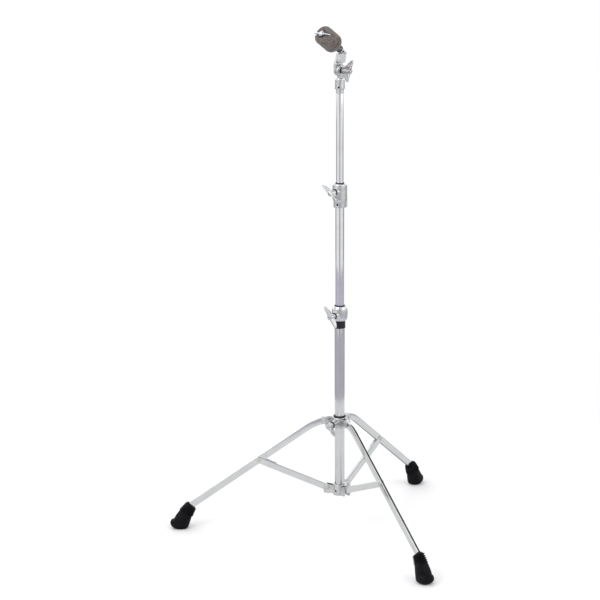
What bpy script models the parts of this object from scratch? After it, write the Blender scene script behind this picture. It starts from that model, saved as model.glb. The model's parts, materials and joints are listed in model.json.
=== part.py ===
"""Straight cymbal stand with a folding single-braced tripod, two telescoping tubes and a tilter.

Metres, +Z up, floor at z = 0. The stand is modelled around its tube axis, inside the empty "stand".
The empty is moved so that the middle of the whole footprint lies at the origin and the rubber feet,
which reach below the stand's own datum, rest on the floor.
"""
import math

import bmesh
import bpy
from mathutils import Matrix, Vector

MM = 0.001
GAP = 0.3 * MM  # clearance between neighbouring pieces
ROUND = 20  # sides of tubes, castings and other large round pieces
SMALL_ROUND = 12  # sides of pins, screws and their holes

# ---- where the tube axis stands in the part's own frame ------------------------------------------
TUBE_AXIS_X = 91.08 * MM
DATUM_Z = 5.0 * MM

# ---- telescoping tubes ---------------------------------------------------------------------------
LOWER_TUBE_R = 11.1 * MM
MIDDLE_TUBE_R = 9.525 * MM
UPPER_TUBE_R = 7.95 * MM
TUBE_WALL = 1.2 * MM
LOWER_TUBE_Z = (78 * MM, 486 * MM)
MIDDLE_TUBE_Z = (300 * MM, 749 * MM)
UPPER_TUBE_Z = (505 * MM, 1000 * MM)

# ---- clamps, and the collar under the lower one --------------------------------------------------
LOWER_CLAMP_Z = (477 * MM, 509.5 * MM)
UPPER_CLAMP_Z = (727 * MM, 779 * MM)
TUBE_SLEEVE_Z = (460 * MM, 476.7 * MM)
TUBE_SLEEVE_R = 12.4 * MM
BUSH_RIM = 1.8 * MM  # of a bush, over its clamp's mouth

# ---- tripod: places in a leg's own plane, as distance from the tube axis and height --------------
LEG_PIVOT = (32 * MM, 250 * MM)
BRACE_PIVOT = (179.5 * MM, 156.9 * MM)
STRUT_PIVOT = (27.6 * MM, 94 * MM)
SIDES = {"left": math.radians(180), "front": math.radians(-60), "rear": math.radians(60)}

LEG_DEPTH = 15.4 * MM
LEG_WIDTH = 6.4 * MM
LEG_WALL = 1.2 * MM
LEG_START_SLOPE = math.radians(16)
LEG_SLOPE = math.radians(35.2)
LEG_BEND_R = 100 * MM
LEG_END_R = 339 * MM  # distance of the leg's buried end from the tube axis

STRUT_DEPTH = 14.4 * MM
STRUT_WIDTH = 9.6 * MM
STRUT_WALL = 1.2 * MM
STRUT_WEB_CUT = 40 * MM  # the web stops this far before the brace pivot, so the leg can pass

PIN_R = 3.0 * MM
PIN_HEAD_R = 4.7 * MM
PIN_HEAD_T = 1.8 * MM
RIVET_R = 2.5 * MM
RIVET_HEAD_R = 4.4 * MM

LEG_COLLAR_Z = (233 * MM, 257 * MM)
LEG_COLLAR_R = 15.5 * MM
LEG_COLLAR_RING_Z = (257.3 * MM, 260.6 * MM)
LEG_COLLAR_RING_R = 13.9 * MM
LEG_EAR_T = 2.4 * MM
LOWER_COLLAR_Z = (77 * MM, 100 * MM)
LOWER_COLLAR_R = 15.0 * MM
STRUT_EAR_T = 2.0 * MM

# ---- wing bolts ----------------------------------------------------------------------------------
BOLT_AZIMUTH = math.radians(-125)
STUD_R = 3.0 * MM
WASHER_T = 1.5 * MM
WASHER_R = 7.6 * MM
LOWER_BOLT_Z = 490.5 * MM
UPPER_BOLT_Z = 762 * MM
LEG_BOLT_Z = 245 * MM
LOWER_BOSS_FACE = 20.5 * MM
UPPER_BOSS_FACE = 18.8 * MM
LEG_BOSS_FACE = 28 * MM
BOSS_R = 7.4 * MM

# ---- tilter --------------------------------------------------------------------------------------
TILTER_PIVOT_Z = 1021 * MM
TILTER_AZIMUTH = math.radians(-45)  # heading of the hinge axis
TILTER_SLEEVE_Z = (981 * MM, 1005 * MM)
TILTER_SLEEVE_R = 10.5 * MM
TILTER_SCREW_AZIMUTH = math.radians(-103)
KNUCKLE_R = 12.5 * MM
KNUCKLE_T = 7.0 * MM
ROD_LEAN = math.radians(55.5)  # of the cymbal rod, from upright
ROD_SEAT = (0 * MM, 43.6 * MM)  # the socket's mouth from the pivot: forward, up
ROD_R = 3.9 * MM
ROD_LENGTH = 68 * MM  # beyond the socket's mouth
ROD_BURIED = 13.4 * MM
SOCKET_R = 7.6 * MM
SOCKET_LENGTH = 18 * MM
TILTER_BOLT_R = 3.0 * MM
TILTER_NUT_BASE = 9.0 * MM
TILTER_NUT_LENGTH = 22.5 * MM

# ---- felts and the parts under and over them, as distances along the rod from the socket's mouth -
SEAT_RING = (0.3 * MM, 2.2 * MM)
CUP_WASHER = (2.5 * MM, 4.3 * MM)
SLEEVE_FLANGE = (4.6 * MM, 6.2 * MM)
LOWER_FELT = (6.5 * MM, 28.2 * MM)
UPPER_FELT = (30.4 * MM, 61 * MM)  # clear of the lower felt by a thick cymbal's edge
FELT_R = 20.9 * MM
FELT_BORE = 5.6 * MM
SLEEVE_R = 5.2 * MM
TOP_NUT_BASE = 61.3 * MM
TOP_NUT_LENGTH = 5.8 * MM


def make_material(name, colour, roughness, metallic):
    material = bpy.data.materials.new(name)
    material.use_nodes = True
    shader = material.node_tree.nodes["Principled BSDF"]
    shader.inputs["Base Color"].default_value = (*colour, 1)
    shader.inputs["Roughness"].default_value = roughness
    shader.inputs["Metallic"].default_value = metallic
    return material


def clear_scene():
    for item in list(bpy.data.objects):
        bpy.data.objects.remove(item, do_unlink=True)


# ---- building blocks -----------------------------------------------------------------------------


def make_empty(name, matrix, parent=None):
    """A named frame, given in its parent's frame."""
    empty = bpy.data.objects.new(name, None)
    empty.empty_display_size = 10 * MM
    bpy.context.collection.objects.link(empty)
    empty.parent = parent
    empty.matrix_local = matrix
    return empty


def make_object(name, mesh_data, material, parent, matrix=None, sharp=35):
    """Turn a bmesh into a named object in its parent's frame, smooth except at its sharp edges."""
    bmesh.ops.recalc_face_normals(mesh_data, faces=mesh_data.faces)
    mesh = bpy.data.meshes.new(name)
    mesh_data.to_mesh(mesh)
    mesh_data.free()
    mesh.shade_smooth()
    mesh.set_sharp_from_angle(angle=math.radians(sharp))
    item = bpy.data.objects.new(name, mesh)
    item.data.materials.append(material)
    bpy.context.collection.objects.link(item)
    item.parent = parent
    item.matrix_local = matrix or Matrix()
    return item


def boolean(target, tool, operation):
    """Cut target with tool, or join tool to it. The tool itself is only a guide."""
    tool.hide_render = True
    tool.display_type = "WIRE"
    modifier = target.modifiers.new(tool.name, "BOOLEAN")
    modifier.operation = operation
    modifier.solver = "EXACT"
    modifier.object = tool


def lofted(rings):
    """A closed solid through rings of points, capped at both ends."""
    solid = bmesh.new()
    loops = [[solid.verts.new(point) for point in ring] for ring in rings]
    count = len(loops[0])
    for lower, upper in zip(loops, loops[1:]):
        for i in range(count):
            j = (i + 1) % count
            solid.faces.new((lower[i], lower[j], upper[j], upper[i]))
    solid.faces.new(loops[0][::-1])
    solid.faces.new(loops[-1])
    return solid


def turned(profile, segments):
    """Revolve a closed (radius, height) outline about Z. Points on the axis become poles."""
    solid = bmesh.new()
    rings = []
    for radius, height in profile:
        if radius == 0:
            rings.append([solid.verts.new((0, 0, height))] * segments)
            continue
        turns = [2 * math.pi * i / segments for i in range(segments)]
        rings.append([solid.verts.new((radius * math.cos(a), radius * math.sin(a), height)) for a in turns])
    for here, there in zip(rings, rings[1:] + rings[:1]):
        for i in range(segments):
            j = (i + 1) % segments
            corners = []
            for vertex in (here[i], here[j], there[j], there[i]):
                if vertex not in corners:
                    corners.append(vertex)
            if len(corners) > 2:
                solid.faces.new(corners)
    return solid


def slab(outline, low, high):
    """Extrude an outline in the XZ plane along Y, from low to high."""
    return lofted([[(x, y, z) for x, z in outline] for y in (low, high)])


def block(x, y, z):
    """A box between three pairs of limits."""
    return slab([(x[0], z[0]), (x[1], z[0]), (x[1], z[1]), (x[0], z[1])], *y)


def arc(centre, radius, start, stop, steps):
    """Points on an arc, with its angles in degrees."""
    points = []
    for i in range(steps + 1):
        angle = math.radians(start + (stop - start) * i / steps)
        points.append((centre[0] + radius * math.cos(angle), centre[1] + radius * math.sin(angle)))
    return points


def rod_between(radius, low, high, segments=SMALL_ROUND):
    """A plain round rod along Z."""
    return turned([(0, low), (radius, low), (radius, high), (0, high)], segments)


def pipe(inner, outer, low, high, segments, chamfer=0.0):
    """A round tube along Z, with its outer rims chamfered."""
    if not chamfer:
        return turned([(inner, low), (outer, low), (outer, high), (inner, high)], segments)
    rim = outer - chamfer
    outline = [(inner, low), (rim, low), (outer, low + chamfer)]
    outline += [(outer, high - chamfer), (rim, high), (inner, high)]
    return turned(outline, segments)


def frame_of(origin, z_axis, y_axis):
    """A frame at origin, with its Z axis and, near enough, its Y axis given."""
    z = Vector(z_axis).normalized()
    x = Vector(y_axis).cross(z).normalized()
    y = z.cross(x)
    rotation = Matrix((x, y, z)).transposed().to_4x4()
    return Matrix.Translation(origin) @ rotation


def across(origin):
    """A frame at origin whose Z axis lies along the parent's Y axis."""
    return Matrix.Translation(origin) @ Matrix.Rotation(math.radians(-90), 4, "X")


def cut_hole(target, name, radius, half_length, parent, matrix, segments=SMALL_ROUND):
    """Drill a round hole along the given frame's Z axis."""
    tool = make_object(name, rod_between(radius, -half_length, half_length, segments), STEEL, parent, matrix)
    boolean(target, tool, "DIFFERENCE")


# ---- pieces that occur more than once ------------------------------------------------------------

WING_STATIONS = (  # distance from the hub's axis, flare, half width, half thickness, of a 53 mm wing
    (0.0, 2.0, 7.6, 3.6),
    (6.3, 2.2, 7.4, 3.0),
    (12.6, 2.9, 6.8, 2.3),
    (18.5, 4.0, 5.6, 2.0),
    (23.0, 5.0, 4.2, 1.8),
    (25.2, 5.5, 2.8, 1.4),
    (26.3, 5.8, 1.2, 0.8),
)


def wing_blade(middle, size, flatten=1.0, lift=1.0, root=0.0, sides=8):
    """Both wings as one swept blade along Y, centred at the height middle.

    lift bends the tips along Z, and root lets the inner edge run down along the hub.
    """
    stations = [(-y, flare, w, t) for y, flare, w, t in reversed(WING_STATIONS[1:])] + list(WING_STATIONS)
    rings = []
    for y, flare, width, thickness in stations:
        fade = 1 - abs(y) / WING_STATIONS[-1][0]
        ring = []
        for i in range(sides):
            angle = 2 * math.pi * (i + 0.5) / sides
            x = thickness * size * math.cos(angle)
            z = flare * lift + width * math.sin(angle) - root * fade * max(0.0, -math.sin(angle))
            ring.append((x, y * size, middle + z * size * flatten))
        rings.append(ring)
    return lofted(rings)


def make_wing_bolt(name, body, stud_tip, material):
    """A wing bolt in the frame body: hub outward along Z from 0, stud inward to -stud_tip."""
    hub = 6.2 * MM
    top = 15.5 * MM
    outline = [(0, -stud_tip), (STUD_R, -stud_tip), (STUD_R, 0), (hub, 0)]
    outline += [(hub, top - 3 * MM), (hub - 2.6 * MM, top), (0, top)]
    bolt = make_object(name, turned(outline, 16), material, body)
    wings = make_object(name + "_wings_guide", wing_blade(7.2 * MM, MM), material, body)
    boolean(bolt, wings, "UNION")
    return bolt


def make_wing_nut(name, body, bore, hub_length, blade, material):
    """A wing nut in the frame body, hub outward along Z from 0, with the given blade through its hub."""
    hub = 6.3 * MM
    outline = [(0, 0), (hub, 0), (hub, hub_length - 1.2 * MM), (hub - 1.2 * MM, hub_length), (0, hub_length)]
    nut = make_object(name, turned(outline, 16), material, body)
    wings = make_object(name + "_wings_guide", blade, material, body)
    boolean(nut, wings, "UNION")
    cut_hole(nut, name + "_bore_guide", bore, hub_length * 1.5, body, Matrix())
    return nut


def bolt_frame(face, height):
    """The frame of a wing bolt: Z outward from the tube axis, Y along the upright."""
    outward = Vector((math.cos(BOLT_AZIMUTH), math.sin(BOLT_AZIMUTH), 0))
    start = outward * (face + GAP + WASHER_T + GAP)
    return frame_of(start + Vector((0, 0, height)), outward, (0, 0, 1))


def make_boss(casting, name, inner, face, height, parent):
    """A round boss for a wing bolt, joined to a casting, and the hole for the bolt's stud through both."""
    outward = Vector((math.cos(BOLT_AZIMUTH), math.sin(BOLT_AZIMUTH), 0))
    matrix = frame_of((0, 0, height), outward, (0, 0, 1))
    boss = make_object(name + "_boss_guide", rod_between(BOSS_R, inner, face, 20), CAST, parent, matrix)
    boolean(casting, boss, "UNION")
    hole = rod_between(STUD_R + GAP, 0, 2 * face, SMALL_ROUND)
    drill = make_object(name + "_drill_guide", hole, CAST, parent, matrix)
    boolean(casting, drill, "DIFFERENCE")


def make_bolt_set(name, turn, height, face, stud_end, static, moving_parent):
    """The black washer of a wing bolt and the bolt itself, turned by an angle from upright."""
    matrix = bolt_frame(face, height)
    washer = pipe(STUD_R + GAP, WASHER_R, -GAP - WASHER_T, -GAP, 18)
    make_object(name + "_washer", washer, NYLON, static, matrix)
    body = make_empty(name + "_body", matrix @ Matrix.Rotation(turn, 4, "Z"), moving_parent)
    stud = face + 2 * GAP + WASHER_T - stud_end
    make_wing_bolt(name, body, stud, CHROME)


def make_pin(name, radius, head_radius, grip, parent, place):
    """A headed pin along the parent's Y axis, holding a stack of half width grip."""
    inner = grip + GAP
    outer = inner + PIN_HEAD_T
    crown = head_radius * 0.7
    outline = [(0, -outer), (crown, -outer), (head_radius, -inner), (radius, -inner)]
    outline += [(radius, inner), (head_radius, inner), (crown, outer), (0, outer)]
    return make_object(name, turned(outline, SMALL_ROUND), STEEL, parent, across(place))


def channel_ring(centre, normal, depth_low, depth_high, width, wall):
    """One station of an upside-down U channel. The web is on the side that the normal points to."""
    half = width / 2
    inner = half - wall
    rounding = wall * 0.9
    web = depth_high - wall * (depth_high / max(depth_high, wall * 2))
    outline = [(-half, depth_low), (-half, depth_high - rounding), (-half + rounding, depth_high)]
    outline += [(half - rounding, depth_high), (half, depth_high - rounding), (half, depth_low)]
    outline += [(inner, depth_low), (inner, web), (-inner, web), (-inner, depth_low)]
    ring = []
    for y, n in outline:
        ring.append((centre[0] + normal[0] * n, y, centre[1] + normal[1] * n))
    return ring


def channel(stations, depth, width, wall):
    """A U channel through stations of (place, heading, share of the full depth)."""
    rings = []
    for place, heading, share in stations:
        normal = (-math.sin(heading), math.cos(heading))
        half = depth / 2 * share
        rings.append(channel_ring(place, normal, -half, half, width, wall))
    return lofted(rings)


def rounded_end(pivot, heading, depth, outward):
    """Stations that round a channel's end about a pivot. outward is 1 past the end, -1 before the start."""
    stations = []
    for angle in (64, 38, 0):
        reach = outward * depth / 2 * math.sin(math.radians(angle))
        place = (pivot[0] + reach * math.cos(heading), pivot[1] + reach * math.sin(heading))
        stations.append((place, heading, math.cos(math.radians(angle))))
    return stations if outward < 0 else stations[::-1]


# ---- materials -----------------------------------------------------------------------------------

clear_scene()
CHROME = make_material("chrome", (0.82, 0.83, 0.85), 0.10, 1)
CAST = make_material("cast_chrome", (0.74, 0.75, 0.77), 0.24, 1)
STEEL = make_material("rivet_steel", (0.62, 0.60, 0.57), 0.35, 1)
DARK = make_material("dark_plating", (0.20, 0.20, 0.21), 0.32, 1)
NYLON = make_material("black_nylon", (0.02, 0.018, 0.028), 0.45, 0)
RUBBER = make_material("black_rubber", (0.018, 0.018, 0.02), 0.62, 0)
FELT = make_material("grey_felt", (0.17, 0.145, 0.135), 0.95, 0)

stand = make_empty("stand", Matrix.Translation((TUBE_AXIS_X, 0, DATUM_Z)))


# ---- fixed column: lower tube, lower collar, lower clamp -----------------------------------------


def make_column():
    bore = LOWER_TUBE_R - TUBE_WALL
    make_object("lower_tube", pipe(bore, LOWER_TUBE_R, *LOWER_TUBE_Z, ROUND), CHROME, stand)
    sleeve = pipe(LOWER_TUBE_R + GAP, TUBE_SLEEVE_R, *TUBE_SLEEVE_Z, ROUND)
    make_object("tube_sleeve", sleeve, NYLON, stand)
    make_lower_clamp()
    make_lower_collar()


def make_lower_clamp():
    low, high = LOWER_CLAMP_Z
    bore = LOWER_TUBE_R + GAP
    outline = [(bore, low), (14.6 * MM, low), (15.6 * MM, low + 2.5 * MM), (16.9 * MM, low + 7 * MM)]
    outline += [(17.2 * MM, low + 12 * MM), (17.2 * MM, low + 22 * MM), (16.6 * MM, low + 27 * MM)]
    outline += [(14.2 * MM, high), (bore, high)]
    clamp = make_object("lower_clamp", turned(outline, ROUND), CAST, stand)
    make_boss(clamp, "lower_clamp", 14 * MM, LOWER_BOSS_FACE, LOWER_BOLT_Z, stand)
    make_bush("lower_clamp_bush", MIDDLE_TUBE_R, LOWER_TUBE_R, LOWER_TUBE_Z[1] + 2 * MM, high, stand)


def make_bush(name, tube, outside, low, top, parent):
    """A nylon bush in a clamp's mouth, whose rim stands out above it."""
    bore = tube + GAP
    rim = top + BUSH_RIM
    outline = [(bore, low), (outside, low), (outside, rim - 0.5 * MM), (outside - 0.5 * MM, rim), (bore, rim)]
    make_object(name, turned(outline, ROUND), NYLON, parent)


def make_lower_collar():
    """The fixed collar with three pairs of ears that the struts hinge between."""
    bore = LOWER_TUBE_R + GAP
    shell = pipe(bore, LOWER_COLLAR_R, *LOWER_COLLAR_Z, ROUND, 0.8 * MM)
    collar = make_object("lower_collar", shell, CAST, stand)
    r, z = STRUT_PIVOT
    outline = [(12.5 * MM, 81 * MM), (30.5 * MM, 81 * MM), (34 * MM, 83 * MM), (35.8 * MM, 87 * MM)]
    outline += arc((r, z), 8.2 * MM, 0, 90, 4)
    outline += [(12.5 * MM, 98.5 * MM)]
    inner = STRUT_WIDTH / 2 + GAP
    for side, azimuth in SIDES.items():
        turn = Matrix.Rotation(azimuth, 4, "Z")
        for sign, name in ((1, "a"), (-1, "b")):
            limits = sorted((sign * inner, sign * (inner + STRUT_EAR_T)))
            guide = "strut_ear_%s_%s_guide" % (side, name)
            ear = make_object(guide, slab(outline, *limits), CAST, stand, turn)
            boolean(collar, ear, "UNION")
        place = turn @ across((r, 0, z))
        cut_hole(collar, "strut_ear_%s_bore_guide" % side, PIN_R + GAP, 12 * MM, stand, place)
    core = make_object("lower_collar_bore_guide", rod_between(bore, 60 * MM, 110 * MM, ROUND), CAST, stand)
    boolean(collar, core, "DIFFERENCE")
    outward = Vector((math.cos(BOLT_AZIMUTH), math.sin(BOLT_AZIMUTH), 0))
    matrix = frame_of(outward * LOWER_COLLAR_R + Vector((0, 0, 88 * MM)), outward, (0, 0, 1))
    cut_hole(collar, "lower_collar_screw_bore_guide", 2.3 * MM, 6 * MM, stand, matrix)
    make_socket_screw("lower_collar_screw", 2.0 * MM, -3.1 * MM, -0.8 * MM, stand, matrix)


def make_socket_screw(name, radius, low, high, parent, matrix):
    """A small set screw with a socket in its outer end, along the frame's Z axis."""
    socket = radius * 0.55
    outline = [(0, low), (radius, low), (radius, high), (socket, high), (socket, high - radius * 0.7)]
    outline += [(0, high - radius * 0.7)]
    make_object(name, turned(outline, 12), DARK, parent, matrix)


# ---- sliding leg collar, its three legs, and the struts that brace them --------------------------


def make_leg_collar():
    body = make_empty("leg_collar_body", Matrix(), stand)
    bore = LOWER_TUBE_R + GAP
    collar = make_object("leg_collar", pipe(bore, LEG_COLLAR_R, *LEG_COLLAR_Z, ROUND, 1.2 * MM), CAST, body)
    r, z = LEG_PIVOT
    outline = [(12.5 * MM, 235 * MM), (22 * MM, 235.5 * MM)]
    outline += arc((r, z), 8.6 * MM, -60, 60, 4)
    outline += [(22 * MM, 256.4 * MM), (12.5 * MM, 256 * MM)]
    inner = LEG_WIDTH / 2 + GAP
    for side, azimuth in SIDES.items():
        turn = Matrix.Rotation(azimuth, 4, "Z")
        for sign, name in ((1, "a"), (-1, "b")):
            limits = sorted((sign * inner, sign * (inner + LEG_EAR_T)))
            guide = "leg_ear_%s_%s_guide" % (side, name)
            ear = make_object(guide, slab(outline, *limits), CAST, body, turn)
            boolean(collar, ear, "UNION")
        place = turn @ across((r, 0, z))
        cut_hole(collar, "leg_ear_%s_bore_guide" % side, PIN_R + GAP, 12 * MM, body, place)
    make_boss(collar, "leg_collar", 13 * MM, LEG_BOSS_FACE, LEG_BOLT_Z, body)
    core = make_object("leg_collar_bore_guide", rod_between(bore, 220 * MM, 270 * MM, ROUND), CAST, body)
    boolean(collar, core, "DIFFERENCE")
    ring = pipe(bore, LEG_COLLAR_RING_R, *LEG_COLLAR_RING_Z, ROUND, 1.0 * MM)
    make_object("leg_collar_ring", ring, NYLON, body)
    turn = math.radians(42)
    make_bolt_set("leg_wing_bolt", turn, LEG_BOLT_Z, LEG_BOSS_FACE, LOWER_TUBE_R + GAP, body, body)
    return body


def leg_path():
    """Stations of the leg's channel in its own plane: round end, short start, bend, and the long straight."""
    start = (math.cos(-LEG_START_SLOPE), math.sin(-LEG_START_SLOPE))
    along = (math.cos(-LEG_SLOPE), math.sin(-LEG_SLOPE))
    offset = (BRACE_PIVOT[0] - LEG_PIVOT[0], BRACE_PIVOT[1] - LEG_PIVOT[1])
    turn = start[0] * along[1] - start[1] * along[0]
    corner_reach = (offset[0] * along[1] - offset[1] * along[0]) / turn
    corner = (LEG_PIVOT[0] + corner_reach * start[0], LEG_PIVOT[1] + corner_reach * start[1])
    tangent = LEG_BEND_R * math.tan((LEG_SLOPE - LEG_START_SLOPE) / 2)
    first = (corner[0] - tangent * start[0], corner[1] - tangent * start[1])
    centre = (first[0] + LEG_BEND_R * start[1], first[1] - LEG_BEND_R * start[0])
    stations = rounded_end(LEG_PIVOT, -LEG_START_SLOPE, LEG_DEPTH, -1)
    steps = 4
    for i in range(steps + 1):
        heading = -LEG_START_SLOPE - (LEG_SLOPE - LEG_START_SLOPE) * i / steps
        place = (centre[0] - LEG_BEND_R * math.sin(heading), centre[1] + LEG_BEND_R * math.cos(heading))
        stations.append((place, heading, 1.0))
    fall = (LEG_END_R - BRACE_PIVOT[0]) * math.tan(LEG_SLOPE)
    stations.append(((LEG_END_R, BRACE_PIVOT[1] - fall), -LEG_SLOPE, 1.0))
    return stations


def make_leg(side, azimuth, collar_body):
    """One leg with its pin and rubber foot. The frame's X axis points away from the tube."""
    turn = Matrix.Rotation(azimuth, 4, "Z")
    pivot = Vector((LEG_PIVOT[0], 0, LEG_PIVOT[1]))
    body = make_empty("leg_%s_body" % side, turn @ Matrix.Translation(pivot), collar_body)
    back = Matrix.Translation(-pivot)
    leg = make_object("leg_" + side, channel(leg_path(), LEG_DEPTH, LEG_WIDTH, LEG_WALL), CHROME, body, back)
    drill = across((0, 0, 0))
    cut_hole(leg, "leg_%s_pivot_guide" % side, PIN_R + GAP, 8 * MM, body, drill)
    brace = Vector((BRACE_PIVOT[0], 0, BRACE_PIVOT[1]))
    cut_hole(leg, "leg_%s_brace_guide" % side, RIVET_R + GAP, 8 * MM, body, back @ across(brace))
    pin_frame = make_empty("leg_pin_%s_frame" % side, turn, collar_body)
    grip = LEG_WIDTH / 2 + GAP + LEG_EAR_T
    make_pin("leg_pin_" + side, PIN_R, PIN_HEAD_R, grip, pin_frame, (LEG_PIVOT[0], 0, LEG_PIVOT[1]))
    make_foot(side, body, back)


# the boot's sections: inner and outer edge as (distance, height), and half width, in mm
FOOT_RIM = ((322.6, 41.4), (341.0, 55.2), 10.6)
FOOT_WAIST = ((330.4, 23.0), (357.4, 37.2), 13.2)
FOOT_RIBS = 4
FOOT_RIB_SWELL = 1.07  # of the ribs over the grooves between them
FOOT_BODY = (
    ((332.6, 17.0), (362.0, 31.0), 14.4),
    ((334.8, 10.0), (367.8, 22.8), 15.8),
    ((336.2, 5.2), (371.6, 17.0), 16.4),
    ((337.2, 3.0), (377.6, 12.4), 17.2),
    ((338.4, -0.6), (379.6, 7.0), 17.4),
    ((340.2, -3.4), (377.0, 0.4), 15.6),
    ((343.8, -5.0), (369.6, -5.0), 11.0),
)


def blend_stations(first, last, share):
    """The boot section a given share of the way between two others."""
    pairs = []
    for here, there in zip(first[:2], last[:2]):
        pairs.append(tuple(h + (t - h) * share for h, t in zip(here, there)))
    return (*pairs, first[2] + (last[2] - first[2]) * share)


def boot_ring(station, swell, sides=16):
    """An oval through a section's two edges, with its half width across."""
    low = Vector((station[0][0], 0, station[0][1])) * MM
    high = Vector((station[1][0], 0, station[1][1])) * MM
    middle = (low + high) / 2
    reach = (high - low) / 2 * swell
    width = Vector((0, station[2] * MM * swell, 0))
    turns = [2 * math.pi * i / sides for i in range(sides)]
    return [middle + reach * math.cos(a) + width * math.sin(a) for a in turns]


def make_foot(side, body, back):
    """A rubber boot with ribs round its upper half, a lip at its toe and a pocket for the leg's end."""
    rings = []
    for i in range(2 * FOOT_RIBS + 1):
        station = blend_stations(FOOT_RIM, FOOT_WAIST, i / (2 * FOOT_RIBS))
        rings.append(boot_ring(station, 1 if i % 2 == 0 else FOOT_RIB_SWELL))
    rings += [boot_ring(station, 1) for station in FOOT_BODY]
    foot = make_object("foot_" + side, lofted(rings), RUBBER, body, back)
    half = LEG_DEPTH / 2 + GAP
    across_half = LEG_WIDTH / 2 + GAP
    pocket = block((-40 * MM, 0.4 * MM), (-across_half, across_half), (-half, half))
    fall = (LEG_END_R - BRACE_PIVOT[0]) * math.tan(LEG_SLOPE)
    end = Matrix.Translation((LEG_END_R, 0, BRACE_PIVOT[1] - fall)) @ Matrix.Rotation(LEG_SLOPE, 4, "Y")
    tool = make_object("foot_%s_pocket_guide" % side, pocket, RUBBER, body, back @ end)
    boolean(foot, tool, "DIFFERENCE")


def make_strut(side, azimuth):
    """One strut with its collar pin and the two rivet heads that hold it to the leg."""
    turn = Matrix.Rotation(azimuth, 4, "Z")
    pivot = Vector((STRUT_PIVOT[0], 0, STRUT_PIVOT[1]))
    body = make_empty("strut_%s_body" % side, turn @ Matrix.Translation(pivot), stand)
    rise = (BRACE_PIVOT[0] - STRUT_PIVOT[0], BRACE_PIVOT[1] - STRUT_PIVOT[1])
    length = math.hypot(*rise)
    heading = math.atan2(rise[1], rise[0])
    lean = Matrix.Rotation(-heading, 4, "Y")
    stations = rounded_end((0, 0), 0, STRUT_DEPTH, -1) + rounded_end((length, 0), 0, STRUT_DEPTH, 1)
    bar = channel(stations, STRUT_DEPTH, STRUT_WIDTH, STRUT_WALL)
    strut = make_object("strut_" + side, bar, CHROME, body, lean)
    inside = STRUT_WIDTH / 2 - STRUT_WALL + GAP
    window = block((length - STRUT_WEB_CUT, length + 20 * MM), (-inside, inside), (-12 * MM, 12 * MM))
    tool = make_object("strut_%s_web_guide" % side, window, CHROME, body, lean)
    boolean(strut, tool, "DIFFERENCE")
    mouth = block((-20 * MM, 3 * MM), (-inside, inside), (-12 * MM, 12 * MM))
    tool = make_object("strut_%s_mouth_guide" % side, mouth, CHROME, body, lean)
    boolean(strut, tool, "DIFFERENCE")
    cut_hole(strut, "strut_%s_pivot_guide" % side, PIN_R + GAP, 8 * MM, body, lean @ across((0, 0, 0)))
    cut_hole(strut, "strut_%s_brace_guide" % side, RIVET_R + GAP, 8 * MM, body, lean @ across((length, 0, 0)))
    for sign, name in ((-1, "a"), (1, "b")):
        rivet = make_rivet_head()
        face = lean @ Matrix.Translation((length, 0, 0)) @ Matrix.Rotation(math.radians(-90 * sign), 4, "X")
        make_object("brace_rivet_%s_%s" % (side, name), rivet, STEEL, body, face)
    pin_frame = make_empty("strut_pin_%s_frame" % side, turn, stand)
    grip = STRUT_WIDTH / 2 + GAP + STRUT_EAR_T
    make_pin("strut_pin_" + side, PIN_R, PIN_HEAD_R, grip, pin_frame, (STRUT_PIVOT[0], 0, STRUT_PIVOT[1]))


def make_rivet_head():
    """One end of the brace rivet: a domed head outside the strut's cheek and a short shank in its hole."""
    cheek = STRUT_WIDTH / 2
    base = cheek + GAP
    top = base + PIN_HEAD_T
    outline = [(0, cheek - STRUT_WALL + 0.1 * MM), (RIVET_R, cheek - STRUT_WALL + 0.1 * MM), (RIVET_R, base)]
    outline += [(RIVET_HEAD_R, base), (RIVET_HEAD_R * 0.7, top), (0, top)]
    return turned(outline, SMALL_ROUND)


# ---- middle and upper tubes ----------------------------------------------------------------------


def make_middle_tube():
    body = make_empty("middle_tube_body", Matrix(), stand)
    bore = MIDDLE_TUBE_R - TUBE_WALL
    make_object("middle_tube", pipe(bore, MIDDLE_TUBE_R, *MIDDLE_TUBE_Z, ROUND), CHROME, body)
    low, high = UPPER_CLAMP_Z
    inside = MIDDLE_TUBE_R + GAP
    outline = [(inside, low), (13.4 * MM, low), (13.6 * MM, low + 13 * MM), (15.7 * MM, low + 18 * MM)]
    outline += [(15.7 * MM, high - 2.4 * MM), (14.2 * MM, high), (inside, high)]
    clamp = make_object("upper_clamp", turned(outline, ROUND), CAST, body)
    rib = block((11 * MM, 15.5 * MM), (-6 * MM, 6 * MM), (low + 0.4 * MM, low + 24 * MM))
    tool = make_object("upper_clamp_rib_guide", rib, CAST, body, Matrix.Rotation(math.radians(12), 4, "Z"))
    boolean(clamp, tool, "UNION")
    make_boss(clamp, "upper_clamp", 12 * MM, UPPER_BOSS_FACE, UPPER_BOLT_Z, body)
    outward = Vector((math.cos(math.radians(-113)), math.sin(math.radians(-113)), 0))
    matrix = frame_of(outward * 13.5 * MM + Vector((0, 0, 734 * MM)), outward, (0, 0, 1))
    cut_hole(clamp, "upper_clamp_screw_bore_guide", 2.3 * MM, 6 * MM, body, matrix)
    make_socket_screw("upper_clamp_screw", 2.0 * MM, -3.3 * MM, -0.8 * MM, body, matrix)
    make_bush("upper_clamp_bush", UPPER_TUBE_R, MIDDLE_TUBE_R, MIDDLE_TUBE_Z[1] + 1 * MM, high, body)
    return body


def make_upper_tube(middle_body):
    body = make_empty("upper_tube_body", Matrix(), middle_body)
    bore = UPPER_TUBE_R - TUBE_WALL
    make_object("upper_tube", pipe(bore, UPPER_TUBE_R, *UPPER_TUBE_Z, ROUND), CHROME, body)
    return body


# ---- tilter: a base that turns on the tube, and a hinged head that carries the rod ---------------


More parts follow.
